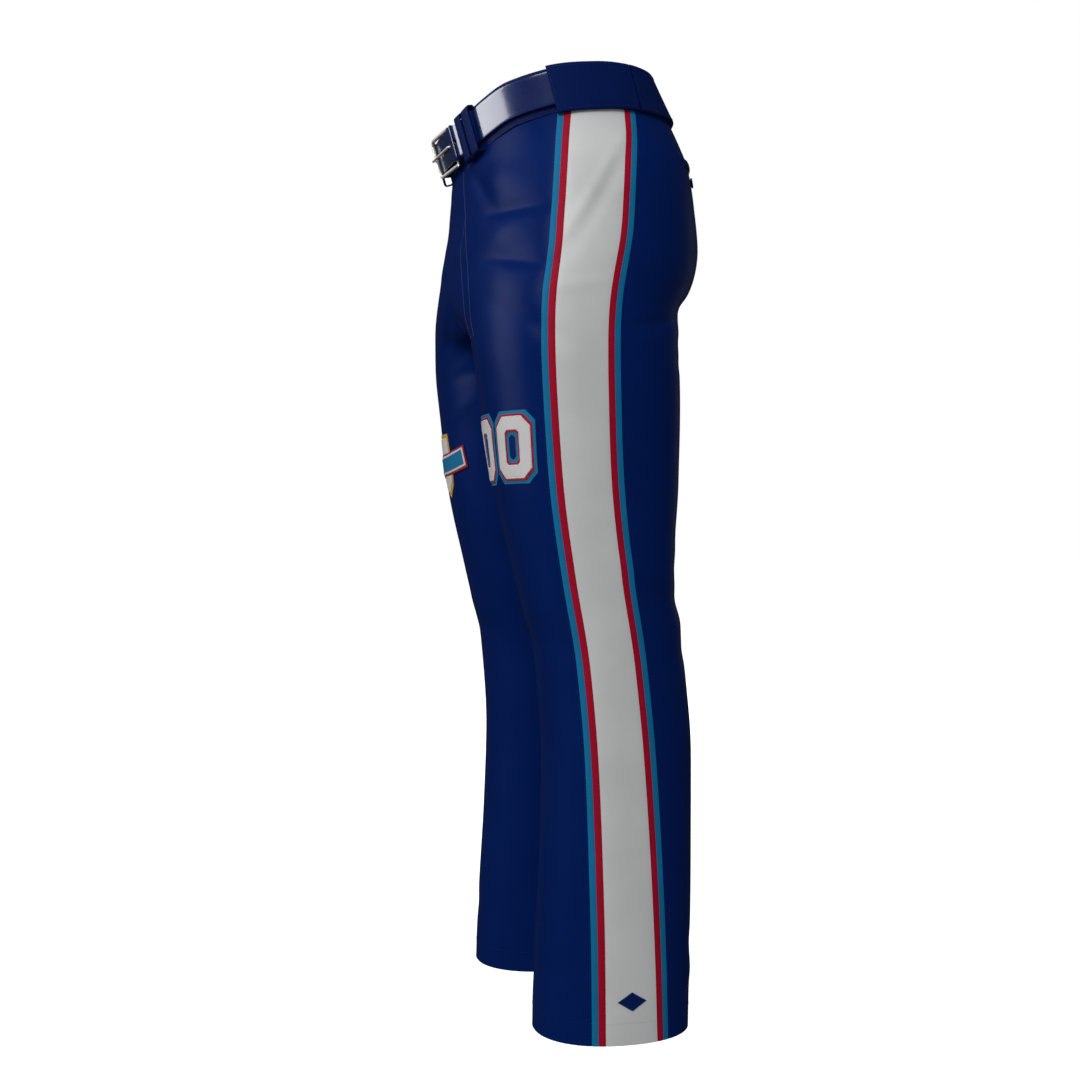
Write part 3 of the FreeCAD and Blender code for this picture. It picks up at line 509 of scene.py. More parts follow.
def swept(name, rings, uvs, closed=False):
    """A solid through closed rings of points; its ends are capped unless it runs round to its start."""
    count, size = rings.shape[:2]
    faces = lattice_faces(count, size, wrap_rows=closed, wrap_columns=True)
    if not closed:
        faces += [tuple(range(size)), tuple(reversed(range((count - 1) * size, count * size)))]
    return mesh_object(name, rings.reshape(-1, 3), faces, uvs.reshape(-1, 2))


def divided(a, b, count):
    """The points that divide the line from a to b into equal parts, with a and without b."""
    return [(a[0] + (b[0] - a[0]) * k / count, a[1] + (b[1] - a[1]) * k / count) for k in range(count)]


def rounded(out0, out1, low, high, radius, flat=8):
    """A closed outline of (out, up) points: a box with round corners and its long sides divided."""
    turn = np.linspace(0, math.pi / 2, 5)
    corners = [(out1 - radius, high - radius), (out0 + radius, high - radius)]
    corners += [(out0 + radius, low + radius), (out1 - radius, low + radius)]
    points = []
    for quarter, (out, up) in enumerate(corners):
        angle = turn + quarter * math.pi / 2
        points += [(out + radius * math.cos(a), up + radius * math.sin(a)) for a in angle]
    closed = []
    for a, b in zip(points, points[1:] + points[:1]):
        closed += divided(a, b, flat if abs(a[1] - b[1]) > radius * 2 else 1)
    return np.array(closed)


def round_waist(name, s0, s1, section, step=3.0, lie=None, wave=0.0, seed=0.0):
    """A strip that follows the waist from s0 to s1 with a cross-section of (out, up) points."""
    places = np.linspace(s0, s1, max(4, int(abs(s1 - s0) / step)))
    shift = np.array([lie(s) if lie else 0.0 for s in places])
    shift += [wave * noise.noise(Vector((s * 0.03, seed, 0.5))) for s in places]
    grid_s = np.repeat(places[:, None], len(section), 1)
    outs = section[None, :, 0] + shift[:, None]
    ups = np.repeat(section[None, :, 1], len(places), 0)
    points, _ = waist_place(grid_s, outs, ups)
    return swept(name, points, np.stack([grid_s, ups + outs], -1))


def hoop(name, s0, s1, low, high, reach, thick, radius):
    """A flat tube of cloth on the waistband that the belt runs through, with softly rounded folds."""
    outer = rounded(0.2, reach + thick, low, high, radius, 6)
    inner = rounded(0.2 + thick, reach, low + thick, high - thick, max(radius - thick, 0.5), 6)
    places = np.linspace(s0, s1, max(5, int((s1 - s0) / 3.0)))
    soft = 0.35 * np.sin(np.linspace(0, math.pi, len(places)))
    points, uvs = [], []
    for line, grow in ((outer, 1.0), (inner, 0.6)):
        s = np.repeat(places[:, None], len(line), 1)
        outs, ups = line[None, :, 0], np.repeat(line[None, :, 1], len(places), 0)
        bulge = soft[:, None] * grow * (outs > reach / 2)
        points.append(waist_place(s, outs + bulge, ups)[0])
        uvs.append(np.stack([s, ups + outs], -1))
    loops, flat = (np.concatenate([grid[0], grid[1][::-1]]) for grid in (points, uvs))
    faces = lattice_faces(2 * len(places), len(outer), wrap_rows=True, wrap_columns=True)
    return mesh_object(name, loops.reshape(-1, 3), faces, flat.reshape(-1, 2))


def side_counts(corners, step=3.0):
    """How many parts each side of an outline is divided into."""
    return [max(1, int(math.dist(a, b) / step)) for a, b in zip(corners, corners[1:] + corners[:1])]


def traced(corners, counts):
    """A closed outline with each side divided into its number of parts."""
    points = []
    for a, b, count in zip(corners, corners[1:] + corners[:1], counts):
        points += divided(a, b, count)
    return np.array(points)


def inward(outline, by):
    """The outline moved in by a small distance."""
    ahead = np.roll(outline, -1, 0) - np.roll(outline, 1, 0)
    normal = unit(np.stack([-ahead[:, 1], ahead[:, 0]], -1))
    area = np.sum(outline[:, 0] * np.roll(outline[:, 1], -1) - np.roll(outline[:, 0], -1) * outline[:, 1])
    return outline + normal * by * np.sign(area)


def twill_patch(name, side, s, z, corners, hole, out, thick):
    """A sewn patch of twill on a leg, with turned edges; corners are (forwards, up) from (s, z)."""
    counts = side_counts(corners)
    outer = traced(corners, counts)
    if hole is None:
        inner, stops = outer * 0.05, np.linspace(0, 1, 12)[1:]
    else:
        inner, stops = traced(hole, counts), np.linspace(0, 1, 6)[1:-1]
    top, bottom = out + thick, out
    edge = inward(outer, 0.3)
    loops = [(outer, bottom), (outer, top - thick * 0.35), (edge, top)]
    end = inner if hole is None else inward(inner, -0.3)
    loops += [(edge + (end - edge) * t, top) for t in stops]
    if hole is not None:
        loops += [(end, top), (inner, top - thick * 0.35), (inner, bottom)]
    places = np.array([line for line, _ in loops])
    outs = np.array([[level] * len(outer) for _, level in loops])
    points, _ = leg_place(side, s + places[..., 0], z + places[..., 1], outs)
    faces = lattice_faces(len(loops), len(outer), wrap_rows=hole is not None, wrap_columns=True)
    if hole is None:
        size, last = len(outer), len(loops) - 1
        faces.append(tuple(last * size + k for k in range(size)))
    return mesh_object(name, points.reshape(-1, 3), faces, places.reshape(-1, 2))


def threads(name, starts, ends, outward, radius, lift):
    """Short sewn threads that rise out of the cloth between two points each."""
    starts, ends, outward = (np.asarray(v, float) for v in (starts, ends, outward))
    across = unit(np.cross(ends - starts, outward))
    rings = []
    for t, rise, size in ((0.0, -0.6, 0.5), (0.22, 0.7, 1.0), (0.78, 0.7, 1.0), (1.0, -0.6, 0.5)):
        centre = starts + (ends - starts) * t + outward * lift * rise
        for a in (0.25, 0.75, 1.25, 1.75):
            turn = a * math.pi
            offset = across * math.cos(turn) + outward * math.sin(turn)
            rings.append(centre + offset * radius * size)
    points = np.stack(rings, 1)
    one = lattice_faces(4, 4, wrap_columns=True) + [(3, 2, 1, 0), (12, 13, 14, 15)]
    faces = [tuple(16 * k + i for i in face) for k in range(len(starts)) for face in one]
    return mesh_object(name, points.reshape(-1, 3), faces, crease=80.0)


THREAD_RADIUS, THREAD_LIFT = 0.24, 0.18


def row_of_stitches(line, length=2.6, gap=1.1):
    """Start and end places of stitches along an open line of (a, b) points."""
    line = np.asarray(line, float)
    run = np.append(0, np.cumsum(np.hypot(*np.diff(line, axis=0).T)))
    starts = np.arange(0.8, run[-1] - length, length + gap)
    return [np.stack([np.interp(starts + d, run, line[:, k]) for k in (0, 1)], -1) for d in (0.0, length)]


def leg_stitches(name, side, lines, out=0.1, radius=THREAD_RADIUS, **spacing):
    """Rows of stitches on a leg along lines of (s, z)."""
    pairs = [row_of_stitches(line, **spacing) for line in lines]
    a, b = (np.concatenate([pair[k] for pair in pairs]) for k in (0, 1))
    start, normal = leg_place(side, a[:, 0], a[:, 1], out)
    stop, _ = leg_place(side, b[:, 0], b[:, 1], out)
    return threads(name, start, stop, normal, radius, THREAD_LIFT)


def waist_stitches(name, rows):
    """Rows of stitches round the waist; each is (s0, s1, out, up), with a pair of ups where it climbs."""
    parts = [[], [], []]
    for s0, s1, out, up in rows:
        up0, up1 = up if isinstance(up, tuple) else (up, up)
        a, b = row_of_stitches([(s0, up0), (s1, up1)])
        start, normal = waist_place(a[:, 0], out, a[:, 1])
        stop, _ = waist_place(b[:, 0], out, b[:, 1])
        for bucket, values in zip(parts, (start, stop, normal)):
            bucket.append(values)
    start, stop, normal = (np.concatenate(bucket) for bucket in parts)
    return threads(name, start, stop, normal, THREAD_RADIUS, THREAD_LIFT)


def cut_by(obj, cutters):
    """Cuts shapes out of a piece and removes the shapes."""
    for cutter in cutters:
        change = obj.modifiers.new("cut", "BOOLEAN")
        change.operation, change.solver, change.object = "DIFFERENCE", "EXACT", cutter
    depsgraph = bpy.context.evaluated_depsgraph_get()
    mesh = bpy.data.meshes.new_from_object(obj.evaluated_get(depsgraph))
    obj.modifiers.clear()
    obj.data = mesh
    for cutter in cutters:
        bpy.data.objects.remove(cutter)
    return obj


def dressed(obj, look, *replaced):
    """Gives a piece its material and slot, and the garment's motion; it stands for the replaced nodes."""
    obj.data.materials.clear()
    obj.data.materials.append(LOOKS[look])
    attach(obj, "garment")
    if replaced:
        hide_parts(*replaced)


# ---------------------------------------------------------------- materials
class Shader:
    """A principled material with helpers for building procedural detail."""

    def __init__(self, name, **settings):
        self.material = bpy.data.materials.new(name)
        self.material.use_nodes = True
        self.nodes = self.material.node_tree.nodes
        self.links = self.material.node_tree.links
        self.main = self.nodes["Principled BSDF"]
        for key, value in settings.items():
            self.main.inputs[key.replace("_", " ")].default_value = value

    def node(self, kind, **settings):
        node = self.nodes.new(kind)
        for key, value in settings.items():
            setattr(node, key, value)
        return node

    def join(self, source, target):
        self.links.new(source, target)

    def maths(self, operation, a, b=None, c=None):
        node = self.node("ShaderNodeMath", operation=operation)
        for socket, value in zip(node.inputs, (a, b, c)):
            if value is None:
                continue
            if isinstance(value, (int, float)):
                socket.default_value = value
            else:
                self.join(value, socket)
        return node.outputs[0]

    def cloth_place(self):
        """Places in millimetres along and up the cloth."""
        uv = self.node("ShaderNodeUVMap", uv_map="cloth")
        split = self.node("ShaderNodeSeparateXYZ")
        self.join(uv.outputs[0], split.inputs[0])
        return [self.maths("MULTIPLY", split.outputs[k], 1000.0) for k in (0, 1)]

    def cloud(self, scale, detail):
        texture = self.node("ShaderNodeTexNoise")
        texture.inputs["Scale"].default_value = scale
        texture.inputs["Detail"].default_value = detail
        self.join(self.node("ShaderNodeTexCoord").outputs["Object"], texture.inputs["Vector"])
        return texture.outputs["Fac"]

    def ramp(self, value, low, high, floor=0.0, top=1.0):
        node = self.node("ShaderNodeMapRange")
        for k, number in zip((1, 2, 3, 4), (low, high, floor, top)):
            node.inputs[k].default_value = number
        self.join(value, node.inputs[0])
        return node.outputs[0]

    def wave(self, value, period):
        """Runs from 0 to 1 and back over each period."""
        turn = self.maths("SINE", self.maths("MULTIPLY", value, 2 * math.pi / period))
        return self.maths("MULTIPLY_ADD", turn, 0.5, 0.5)

    def tinted(self, value, dark, light):
        """Base colour that runs from dark to light as value runs from 0 to 1."""
        mix = self.node("ShaderNodeMix", data_type="RGBA")
        mix.inputs["A"].default_value = (*dark, 1)
        mix.inputs["B"].default_value = (*light, 1)
        self.join(value, mix.inputs["Factor"])
        self.join(mix.outputs["Result"], self.main.inputs["Base Color"])

    def rough(self, value, smoothest, roughest):
        self.join(self.ramp(value, 0, 1, smoothest, roughest), self.main.inputs["Roughness"])

    def bumped(self, height, distance, strength):
        bump = self.node("ShaderNodeBump")
        bump.inputs["Distance"].default_value = distance
        bump.inputs["Strength"].default_value = strength
        self.join(height, bump.inputs["Height"])
        self.join(bump.outputs[0], self.main.inputs["Normal"])


def scaled(colour, factor):
    return tuple(min(1.0, c * factor) for c in colour)


KNIT_GLOSS, WOVEN_GLOSS, BRAID_GLOSS = 0.033, 0.08, 0.06
WALE, COURSE = 1.1, 0.9      # width and height of a knit stitch
RIB, HERRINGBONE = 1.6, 1.1  # width of a braid's rib and height of its stitch


def knit(name, colour, gloss=KNIT_GLOSS, roughness=0.32):
    """Fine weft knit: columns of small V stitches, with a little unevenness in shade."""
    look = Shader(name, Specular_IOR_Level=gloss)
    u, v = look.cloth_place()
    across = look.maths("FRACT", look.maths("DIVIDE", u, WALE))
    fold = look.maths("MULTIPLY", look.maths("ABSOLUTE", look.maths("SUBTRACT", across, 0.5)), 2.0)
    slant = look.maths("MULTIPLY_ADD", fold, 0.5, look.maths("DIVIDE", v, COURSE))
    stitch = look.wave(slant, 1.0)
    rib = look.maths("SUBTRACT", 1.0, look.maths("POWER", fold, 3.0))
    height = look.maths("MULTIPLY_ADD", stitch, 0.4, look.maths("MULTIPLY", rib, 0.6))
    patch = look.cloud(16.0, 3.0)
    shade = look.maths("MULTIPLY_ADD", height, 0.3, look.maths("MULTIPLY", patch, 0.7))
    look.tinted(look.ramp(shade, 0.2, 0.9), scaled(colour, 0.88), scaled(colour, 1.12))
    look.rough(patch, roughness - 0.06, roughness + 0.06)
    look.bumped(height, 0.00007, 0.4)
    return look.material


def woven(name, colour, period=0.9, diagonal=True, depth=0.00006):
    """Woven cloth: slanting twill lines, or a plain square weave."""
    look = Shader(name, Specular_IOR_Level=WOVEN_GLOSS)
    u, v = look.cloth_place()
    if diagonal:
        height = look.wave(look.maths("ADD", u, look.maths("MULTIPLY", v, 1.4)), period)
    else:
        height = look.maths("MULTIPLY", look.wave(u, period), look.wave(v, period))
    patch = look.cloud(20.0, 4.0)
    shade = look.maths("MULTIPLY_ADD", height, 0.35, look.maths("MULTIPLY", patch, 0.65))
    look.tinted(look.ramp(shade, 0.2, 0.85), scaled(colour, 0.84), scaled(colour, 1.14))
    look.rough(patch, 0.48, 0.62)
    look.bumped(height, depth, 0.5)
    return look.material


def braided(name, colour):
    """Flat braid: fine ribs along its length, crossed by herringbone stitches."""
    look = Shader(name, Specular_IOR_Level=BRAID_GLOSS)
    u, v = look.cloth_place()
    across = look.maths("FRACT", look.maths("DIVIDE", u, RIB))
    fold = look.maths("ABSOLUTE", look.maths("SUBTRACT", across, 0.5))
    height = look.wave(look.maths("MULTIPLY_ADD", fold, RIB, v), HERRINGBONE)
    patch = look.cloud(18.0, 3.0)
    shade = look.maths("MULTIPLY_ADD", height, 0.4, look.maths("MULTIPLY", patch, 0.6))
    look.tinted(look.ramp(shade, 0.2, 0.85), scaled(colour, 0.82), scaled(colour, 1.14))
    look.rough(patch, 0.48, 0.6)
    look.bumped(height, 0.0001, 0.5)
    return look.material


def leather(name, colour):
    """Coated belt leather: polished, with a faint grain under the coat and softer, duller patches."""
    look = Shader(name, Specular_IOR_Level=0.5, Coat_Weight=1.0, Coat_IOR=1.6, Coat_Roughness=0.15)
    grain = look.cloud(900.0, 2.0)
    patch = look.cloud(26.0, 3.0)
    look.tinted(look.ramp(patch, 0.3, 0.7), scaled(colour, 0.85), scaled(colour, 1.15))
    look.rough(patch, 0.22, 0.34)
    look.bumped(look.maths("MULTIPLY_ADD", grain, 0.3, patch), 0.00012, 0.25)
    return look.material


def metal(name, colour, roughness, mottle, depth=0.00006):
    """Cast or plated metal with a mottled finish, darker and rougher in the hollows of its grain."""
    look = Shader(name, Metallic=1.0)
    fine, broad = look.cloud(mottle * 3, 3.0), look.cloud(mottle, 4.0)
    wear = look.maths("MULTIPLY_ADD", fine, 0.5, look.maths("MULTIPLY", broad, 0.5))
    look.tinted(look.ramp(wear, 0.36, 0.62), scaled(colour, 0.62), scaled(colour, 1.12))
    look.rough(look.ramp(wear, 0.62, 0.36), roughness - 0.08, roughness + 0.14)
    look.bumped(wear, depth, 0.6)
    return look.material


def thread(name, colour):
    """Polyester sewing thread, with a slight change of shade from stitch to stitch."""
    look = Shader(name, Specular_IOR_Level=0.3)
    patch = look.cloud(500.0, 1.0)
    look.tinted(look.ramp(patch, 0.3, 0.7), scaled(colour, 0.8), scaled(colour, 1.2))
    look.rough(patch, 0.4, 0.55)
    return look.material


def plastic(name, colour):
    """Moulded button resin with a cloudy depth and small scratches."""
    look = Shader(name, Specular_IOR_Level=0.5)
    patch, scratch = look.cloud(220.0, 3.0), look.cloud(1500.0, 1.0)
    look.tinted(look.ramp(patch, 0.3, 0.7), scaled(colour, 0.7), scaled(colour, 1.3))
    look.rough(scratch, 0.18, 0.34)
    look.bumped(scratch, 0.00002, 0.3)
    return look.material


NAVY = (0.0014, 0.0165, 0.128)
NAVY_DARK = (0.0019, 0.0135, 0.108)
WHITE = (0.74, 0.74, 0.74)
RED = (0.44, 0.0055, 0.030)
SKY = (0.0085, 0.20, 0.42)
GOLD = (0.74, 0.43, 0.075)
TWILL_WHITE = (0.80, 0.80, 0.79)


RECIPES = {
    "navy_knit": (knit, (NAVY,), {}),
    "white_knit": (knit, (WHITE,), {"gloss": 0.1}),
    "red_braid": (braided, (RED,), {}),
    "blue_braid": (braided, (SKY,), {}),
    "navy_waistband": (woven, (NAVY_DARK,), {}),
    "navy_loops": (knit, (NAVY_DARK,), {"gloss": 0.05, "roughness": 0.6}),
    "elastic": (woven, ((0.045, 0.055, 0.085), 1.4, False), {"depth": 0.0002}),
    "pocketing": (woven, ((0.018, 0.028, 0.075), 0.6, False), {}),
    "belt_leather": (leather, ((0.0020, 0.0170, 0.132),), {}),
    "pewter": (metal, ((0.80, 0.78, 0.73), 0.52, 260.0), {}),
    "rivet_metal": (metal, ((0.58, 0.57, 0.54), 0.30, 500.0), {}),
    "zip_tape": (woven, ((0.006, 0.020, 0.115), 0.8), {}),
    "zip_metal": (metal, ((0.62, 0.47, 0.22), 0.32, 600.0), {}),
    "hook_steel": (metal, ((0.60, 0.60, 0.61), 0.26, 420.0), {"depth": 0.00002}),
    "button_plastic": (plastic, ((0.006, 0.016, 0.070),), {}),
    "twill_white": (woven, (TWILL_WHITE, 0.8), {}),
    "twill_red": (woven, (RED, 0.8), {}),
    "twill_blue": (woven, (SKY, 0.8), {}),
    "twill_gold": (woven, (GOLD, 0.8), {}),
    "twill_navy": (woven, (NAVY, 0.8), {}),
    "navy_thread": (thread, (scaled(NAVY, 1.5),), {}),
    "pale_thread": (thread, ((0.075, 0.095, 0.26),), {}),
    "white_thread": (thread, (TWILL_WHITE,), {}),
    "red_thread": (thread, (RED,), {}),
    "sky_thread": (thread, (SKY,), {}),
    "gold_thread": (thread, (GOLD,), {}),
}


# ---------------------------------------------------------------- camera, light and floor
def aim(obj, target):
    direction = Vector(target) - obj.location
    obj.rotation_euler = direction.to_track_quat("-Z", "Y").to_euler()


def softbox(name, azimuth, distance, height, target, wide, high, radiance, left_out):
    """A rectangular light on a circle round the object; it may leave out its diffuse or glossy light."""
    light = bpy.data.lights.new(name, "AREA")
    light.shape, light.size, light.size_y = "RECTANGLE", wide, high
    light.energy = radiance * math.pi * wide * high
    lamp = bpy.data.objects.new(name, light)
    bpy.context.scene.collection.objects.link(lamp)
    turn = math.radians(azimuth)
    lamp.location = (distance * math.sin(turn), -distance * math.cos(turn), height)
    aim(lamp, target)
    lamp.visible_camera = False
    if left_out:
        setattr(lamp, left_out, False)


CAMERA_AZIMUTH, CAMERA_DISTANCE, EYE_HEIGHT = math.radians(74.5), 1.731, 0.536
SENSOR_WIDTH, FOCAL_LENGTH = 36.0, 48.33
SKY_STRENGTH = 0.21
SKY_SHEEN = 0.03         # the sky's strength where it is mirrored
FLOOR_GLOW = 0.92
FLOOR_REACH = 30
# degrees round from the front, distance, height, target, the lamp's width and height, radiance, what it
# leaves out
LIGHTS = {
    "front_box": (-5, 2.6, 1.6, (0, -0.1, 1.0), 1.9, 2.1, 5.8, "visible_diffuse"),
    "back_box": (-147, 2.6, 1.0, (0, 0.1, 0.8), 0.35, 1.4, 0.3, None),
    "back_fill": (238, 3.2, 1.8, (0, 0, 0.6), 1.6, 1.6, 4.5, "visible_glossy"),
    "front_fill": (-5, 3.2, 1.8, (0, 0, 0.6), 1.6, 1.6, 1.6, "visible_glossy"),
    "top_box": (60, 0.8, 3.2, (0, 0, 0.9), 2.0, 2.0, 0.7, None),
    "key_box": (54, 3.6, 3.0, (0, 0, 0.6), 1.3, 1.3, 14.5, None),
}


def place_camera(scene):
    camera = bpy.data.objects.new("camera", bpy.data.cameras.new("camera"))
    scene.collection.objects.link(camera)
    camera.data.sensor_width = SENSOR_WIDTH
    camera.data.lens = FOCAL_LENGTH
    camera.data.clip_start = 0.01
    off = -ORIGIN_Y * MM
    reach = CAMERA_DISTANCE
    camera.location = (reach * math.sin(CAMERA_AZIMUTH), -reach * math.cos(CAMERA_AZIMUTH) + off, EYE_HEIGHT)
    aim(camera, (0.0, off, EYE_HEIGHT))
    scene.camera = camera


def light_sky(scene):
    """A pale sky that is dimmer where it is mirrored and plain white to the camera."""
    world = bpy.data.worlds.new("studio")
    scene.world = world
    world.use_nodes = True
    nodes, links = world.node_tree.nodes, world.node_tree.links
    sky, path = nodes["Background"], nodes.new("ShaderNodeLightPath")
    sky.inputs["Color"].default_value = (0.97, 0.985, 1.0, 1)
    sky.inputs["Strength"].default_value = SKY_STRENGTH
    shown = sky.outputs[0]
    for ray, strength in (("Is Glossy Ray", SKY_SHEEN), ("Is Camera Ray", 1.0)):
        other, mix = nodes.new("ShaderNodeBackground"), nodes.new("ShaderNodeMixShader")
        other.inputs["Color"].default_value = (1, 1, 1, 1)
        other.inputs["Strength"].default_value = strength
        links.new(path.outputs[ray], mix.inputs[0])
        links.new(shown, mix.inputs[1])
        links.new(other.outputs[0], mix.inputs[2])
        shown = mix.outputs[0]
    links.new(shown, nodes["World Output"].inputs["Surface"])


def lay_floor(scene):
    """A glowing white floor that takes shadows but lights nothing."""
    floor = bpy.data.meshes.new("floor")
    r = FLOOR_REACH
    floor.from_pydata([(-r, -r, 0), (r, -r, 0), (r, r, 0), (-r, r, 0)], [], [(0, 1, 2, 3)])
    ground = bpy.data.objects.new("floor", floor)
    scene.collection.objects.link(ground)
    paint = Shader("floor_paint", Roughness=0.9, Specular_IOR_Level=0.0)
    paint.main.inputs["Base Color"].default_value = (0.8, 0.8, 0.8, 1)
    paint.main.inputs["Emission Color"].default_value = (1, 1, 1, 1)
    paint.main.inputs["Emission Strength"].default_value = FLOOR_GLOW
    ground.data.materials.append(paint.material)
    ground.visible_diffuse = False
    ground.visible_glossy = False


def studio():
    scene = bpy.context.scene
    scene.view_settings.view_transform = "Standard"
    place_camera(scene)
    light_sky(scene)
    for name, settings in LIGHTS.items():
        softbox(name, *settings)
    lay_floor(scene)


# ---------------------------------------------------------------- legs
def build_legs():
    names = {
        "front_panel": "navy_knit", "back_panel": "navy_knit", "side_panel": "white_knit",
        "front_red_braid": "red_braid", "back_red_braid": "red_braid",
        "front_blue_braid": "blue_braid", "back_blue_braid": "blue_braid",
    }
    for side, word in SIDES:
        cloth = LegCloth(side)
        for name, look in names.items():
            pick = (slice(None), cloth.columns(name))
            uvs = np.stack([cloth.s[pick], cloth.z[pick]], -1)
            obj = sheet_object(word + name + "_cloth", cloth.points[pick], cloth.normals[pick], uvs, CLOTH)
            dressed(obj, look, word + name)


def leg_sheet(name, side, places, heights, out, thick):
    """A sheet laid on or in a leg; out may be a function of how far up the sheet it is, from 0 to 1."""
    s, z = np.meshgrid(places, heights)
    share = (z - heights[0]) / (heights[-1] - heights[0])
    points, normals = leg_place(side, s, z, out(share) if callable(out) else out)
    return sheet_object(name, points, normals, np.stack([s, z], -1), thick)


HEM_ROW, HEM_DEEP = 24.0, 28.0


def build_hems():
    front, back = np.interp(0, LATTICE, ENDS[1]), np.interp(0, LATTICE, ENDS[-1])
    for side, word in SIDES:
        places = np.linspace(front - 3, 3 - back, 130)
        facing = leg_sheet(word + "hem_turning", side, places, np.linspace(0, HEM_DEEP, 9), -2.4, FOLD_CLOTH)
        dressed(facing, "navy_knit", word + "hem_facing")
        half = half_stripe(HEM_ROW)
        for name, start, stop, look in (
            ("hem_stitches_front", front - 4, half + 15, "navy_thread"),
            ("hem_stitches_back", -half - 15, 4 - back, "navy_thread"),
            ("hem_stitches_side", half - 1, 1 - half, "white_thread"),
        ):
            row = leg_stitches(word + name, side, [[(start, HEM_ROW), (stop, HEM_ROW)]], radius=0.18)
            dressed(row, look)


def build_seam_stitches():
    heights = np.arange(3.0, WAIST_SEAM - 4, 6.0)
    halves = np.array([half_stripe(z) for z in heights])
    for side, word in SIDES:
        for name, past, look in (
            ("red_braid_stitches", 1.2, "red_thread"),
            ("blue_braid_stitches", RED_BRAID + 1.2, "sky_thread"),
            ("panel_edge_stitches", RED_BRAID + BLUE_BRAID + 1.6, "navy_thread"),
        ):
            lines = [np.stack([sign * (halves + past), heights], -1) for sign in (1, -1)]
            dressed(leg_stitches(word + name, side, lines, radius=0.2), look)


def build_marks():
    """The plain block number, the plain shield and ribbon, and the small lozenge at the hem."""
    layers = [("blue", 5.8, "sky_thread"), ("red", 2.3, "red_thread"), ("white", 0.0, "white_thread")]
    for level, (colour, border, stitch) in enumerate(layers):
        rims = [
            chamfered(DIGIT_WIDE / 2 + border, DIGIT_HIGH / 2 + border, 11.0),
            chamfered(DIGIT_WIDE / 2 - DIGIT_STROKE - border, DIGIT_HIGH / 2 - DIGIT_STROKE - border, 3.0),
        ]
        out = LAYER_FLOOR + LAYER_PITCH * level
        for digit, s in enumerate(DIGIT_PLACES):
            name = f"number_{colour}_{digit}"
            patch = twill_patch(name, 1, s, NUMBER_HEIGHT, *rims, out, LAYER)
            dressed(patch, "twill_" + colour, f"number_{colour}_layer")
            border_stitches(name + "_edge", 1, s, NUMBER_HEIGHT, rims, out + LAYER, stitch)
    emblem = [
        ("shield_gold", shield(27.0, 38.0, 41.0), "twill_gold", "gold_thread"),
        ("shield_white", shield(22.0, 33.0, 34.5), "twill_white", "white_thread"),
        ("ribbon_red", banner(64.0, 27.0, 9.0), "twill_red", "red_thread"),
        ("ribbon_white", banner(61.5, 22.0, 8.7), "twill_white", "white_thread"),
        ("ribbon_blue", banner(59.0, 17.0, 8.4), "twill_blue", "sky_thread"),
    ]
    for level, (name, outline, look, stitch) in enumerate(emblem):
        out = LAYER_FLOOR + LAYER_PITCH * level
        patch = twill_patch(name + "_patch", -1, EMBLEM_PLACE, EMBLEM_HEIGHT, outline, None, out, LAYER)
        dressed(patch, look, "emblem_" + name)
        border_stitches(name + "_edge", -1, EMBLEM_PLACE, EMBLEM_HEIGHT, [outline], out + LAYER, stitch)
    lozenge = [(-16, 0), (0, -10), (16, 0), (0, 10)]
    badge = twill_patch("hem_lozenge", 1, 0.0, BADGE_HEIGHT, lozenge, None, LAYER_FLOOR, LAYER)
    dressed(badge, "twill_navy", "hem_badge")
    border_stitches("hem_lozenge_edge", 1, 0.0, BADGE_HEIGHT, [lozenge], LAYER_FLOOR + LAYER, "navy_thread")


def border_stitches(name, side, s, z, outlines, out, look):
    """Close satin stitches over the edges of a patch."""
    starts, ends, normals = [], [], []
    for k, corners in enumerate(outlines):
        line = traced(corners, side_counts(corners, 0.85))
        reach = 1.5 if k == 0 else -1.5
        inside = inward(line, reach)
        a, normal = leg_place(side, s + line[:, 0], z + line[:, 1], out - LAYER + 0.05)
        b, _ = leg_place(side, s + inside[:, 0], z + inside[:, 1], out)
        starts.append(a)
        ends.append(b)
        normals.append(normal)
    obj = threads(name, np.concatenate(starts), np.concatenate(ends), np.concatenate(normals), 0.36, 0.16)
    dressed(obj, look)


def chamfered(half_wide, half_high, corner):
    w, h, c = half_wide, half_high, corner
    right = [(w - c, -h), (w, -h + c), (w, h - c), (w - c, h)]
    return right + [(-x, y) for x, y in reversed(right)]


def banner(half, deep, rise):
    places = np.linspace(-half, half, 21)
    top = [(x, deep / 2 + rise * (x / half) * abs(x / half)) for x in places]
    return top + [(x, y - deep) for x, y in reversed(top)]


def shield(half, high, point):
    return [
        (-half, high), (half, high), (half, -point * 0.2), (half * 0.7, -point * 0.65),
        (0, -point), (-half * 0.7, -point * 0.65), (-half, -point * 0.2),
    ]


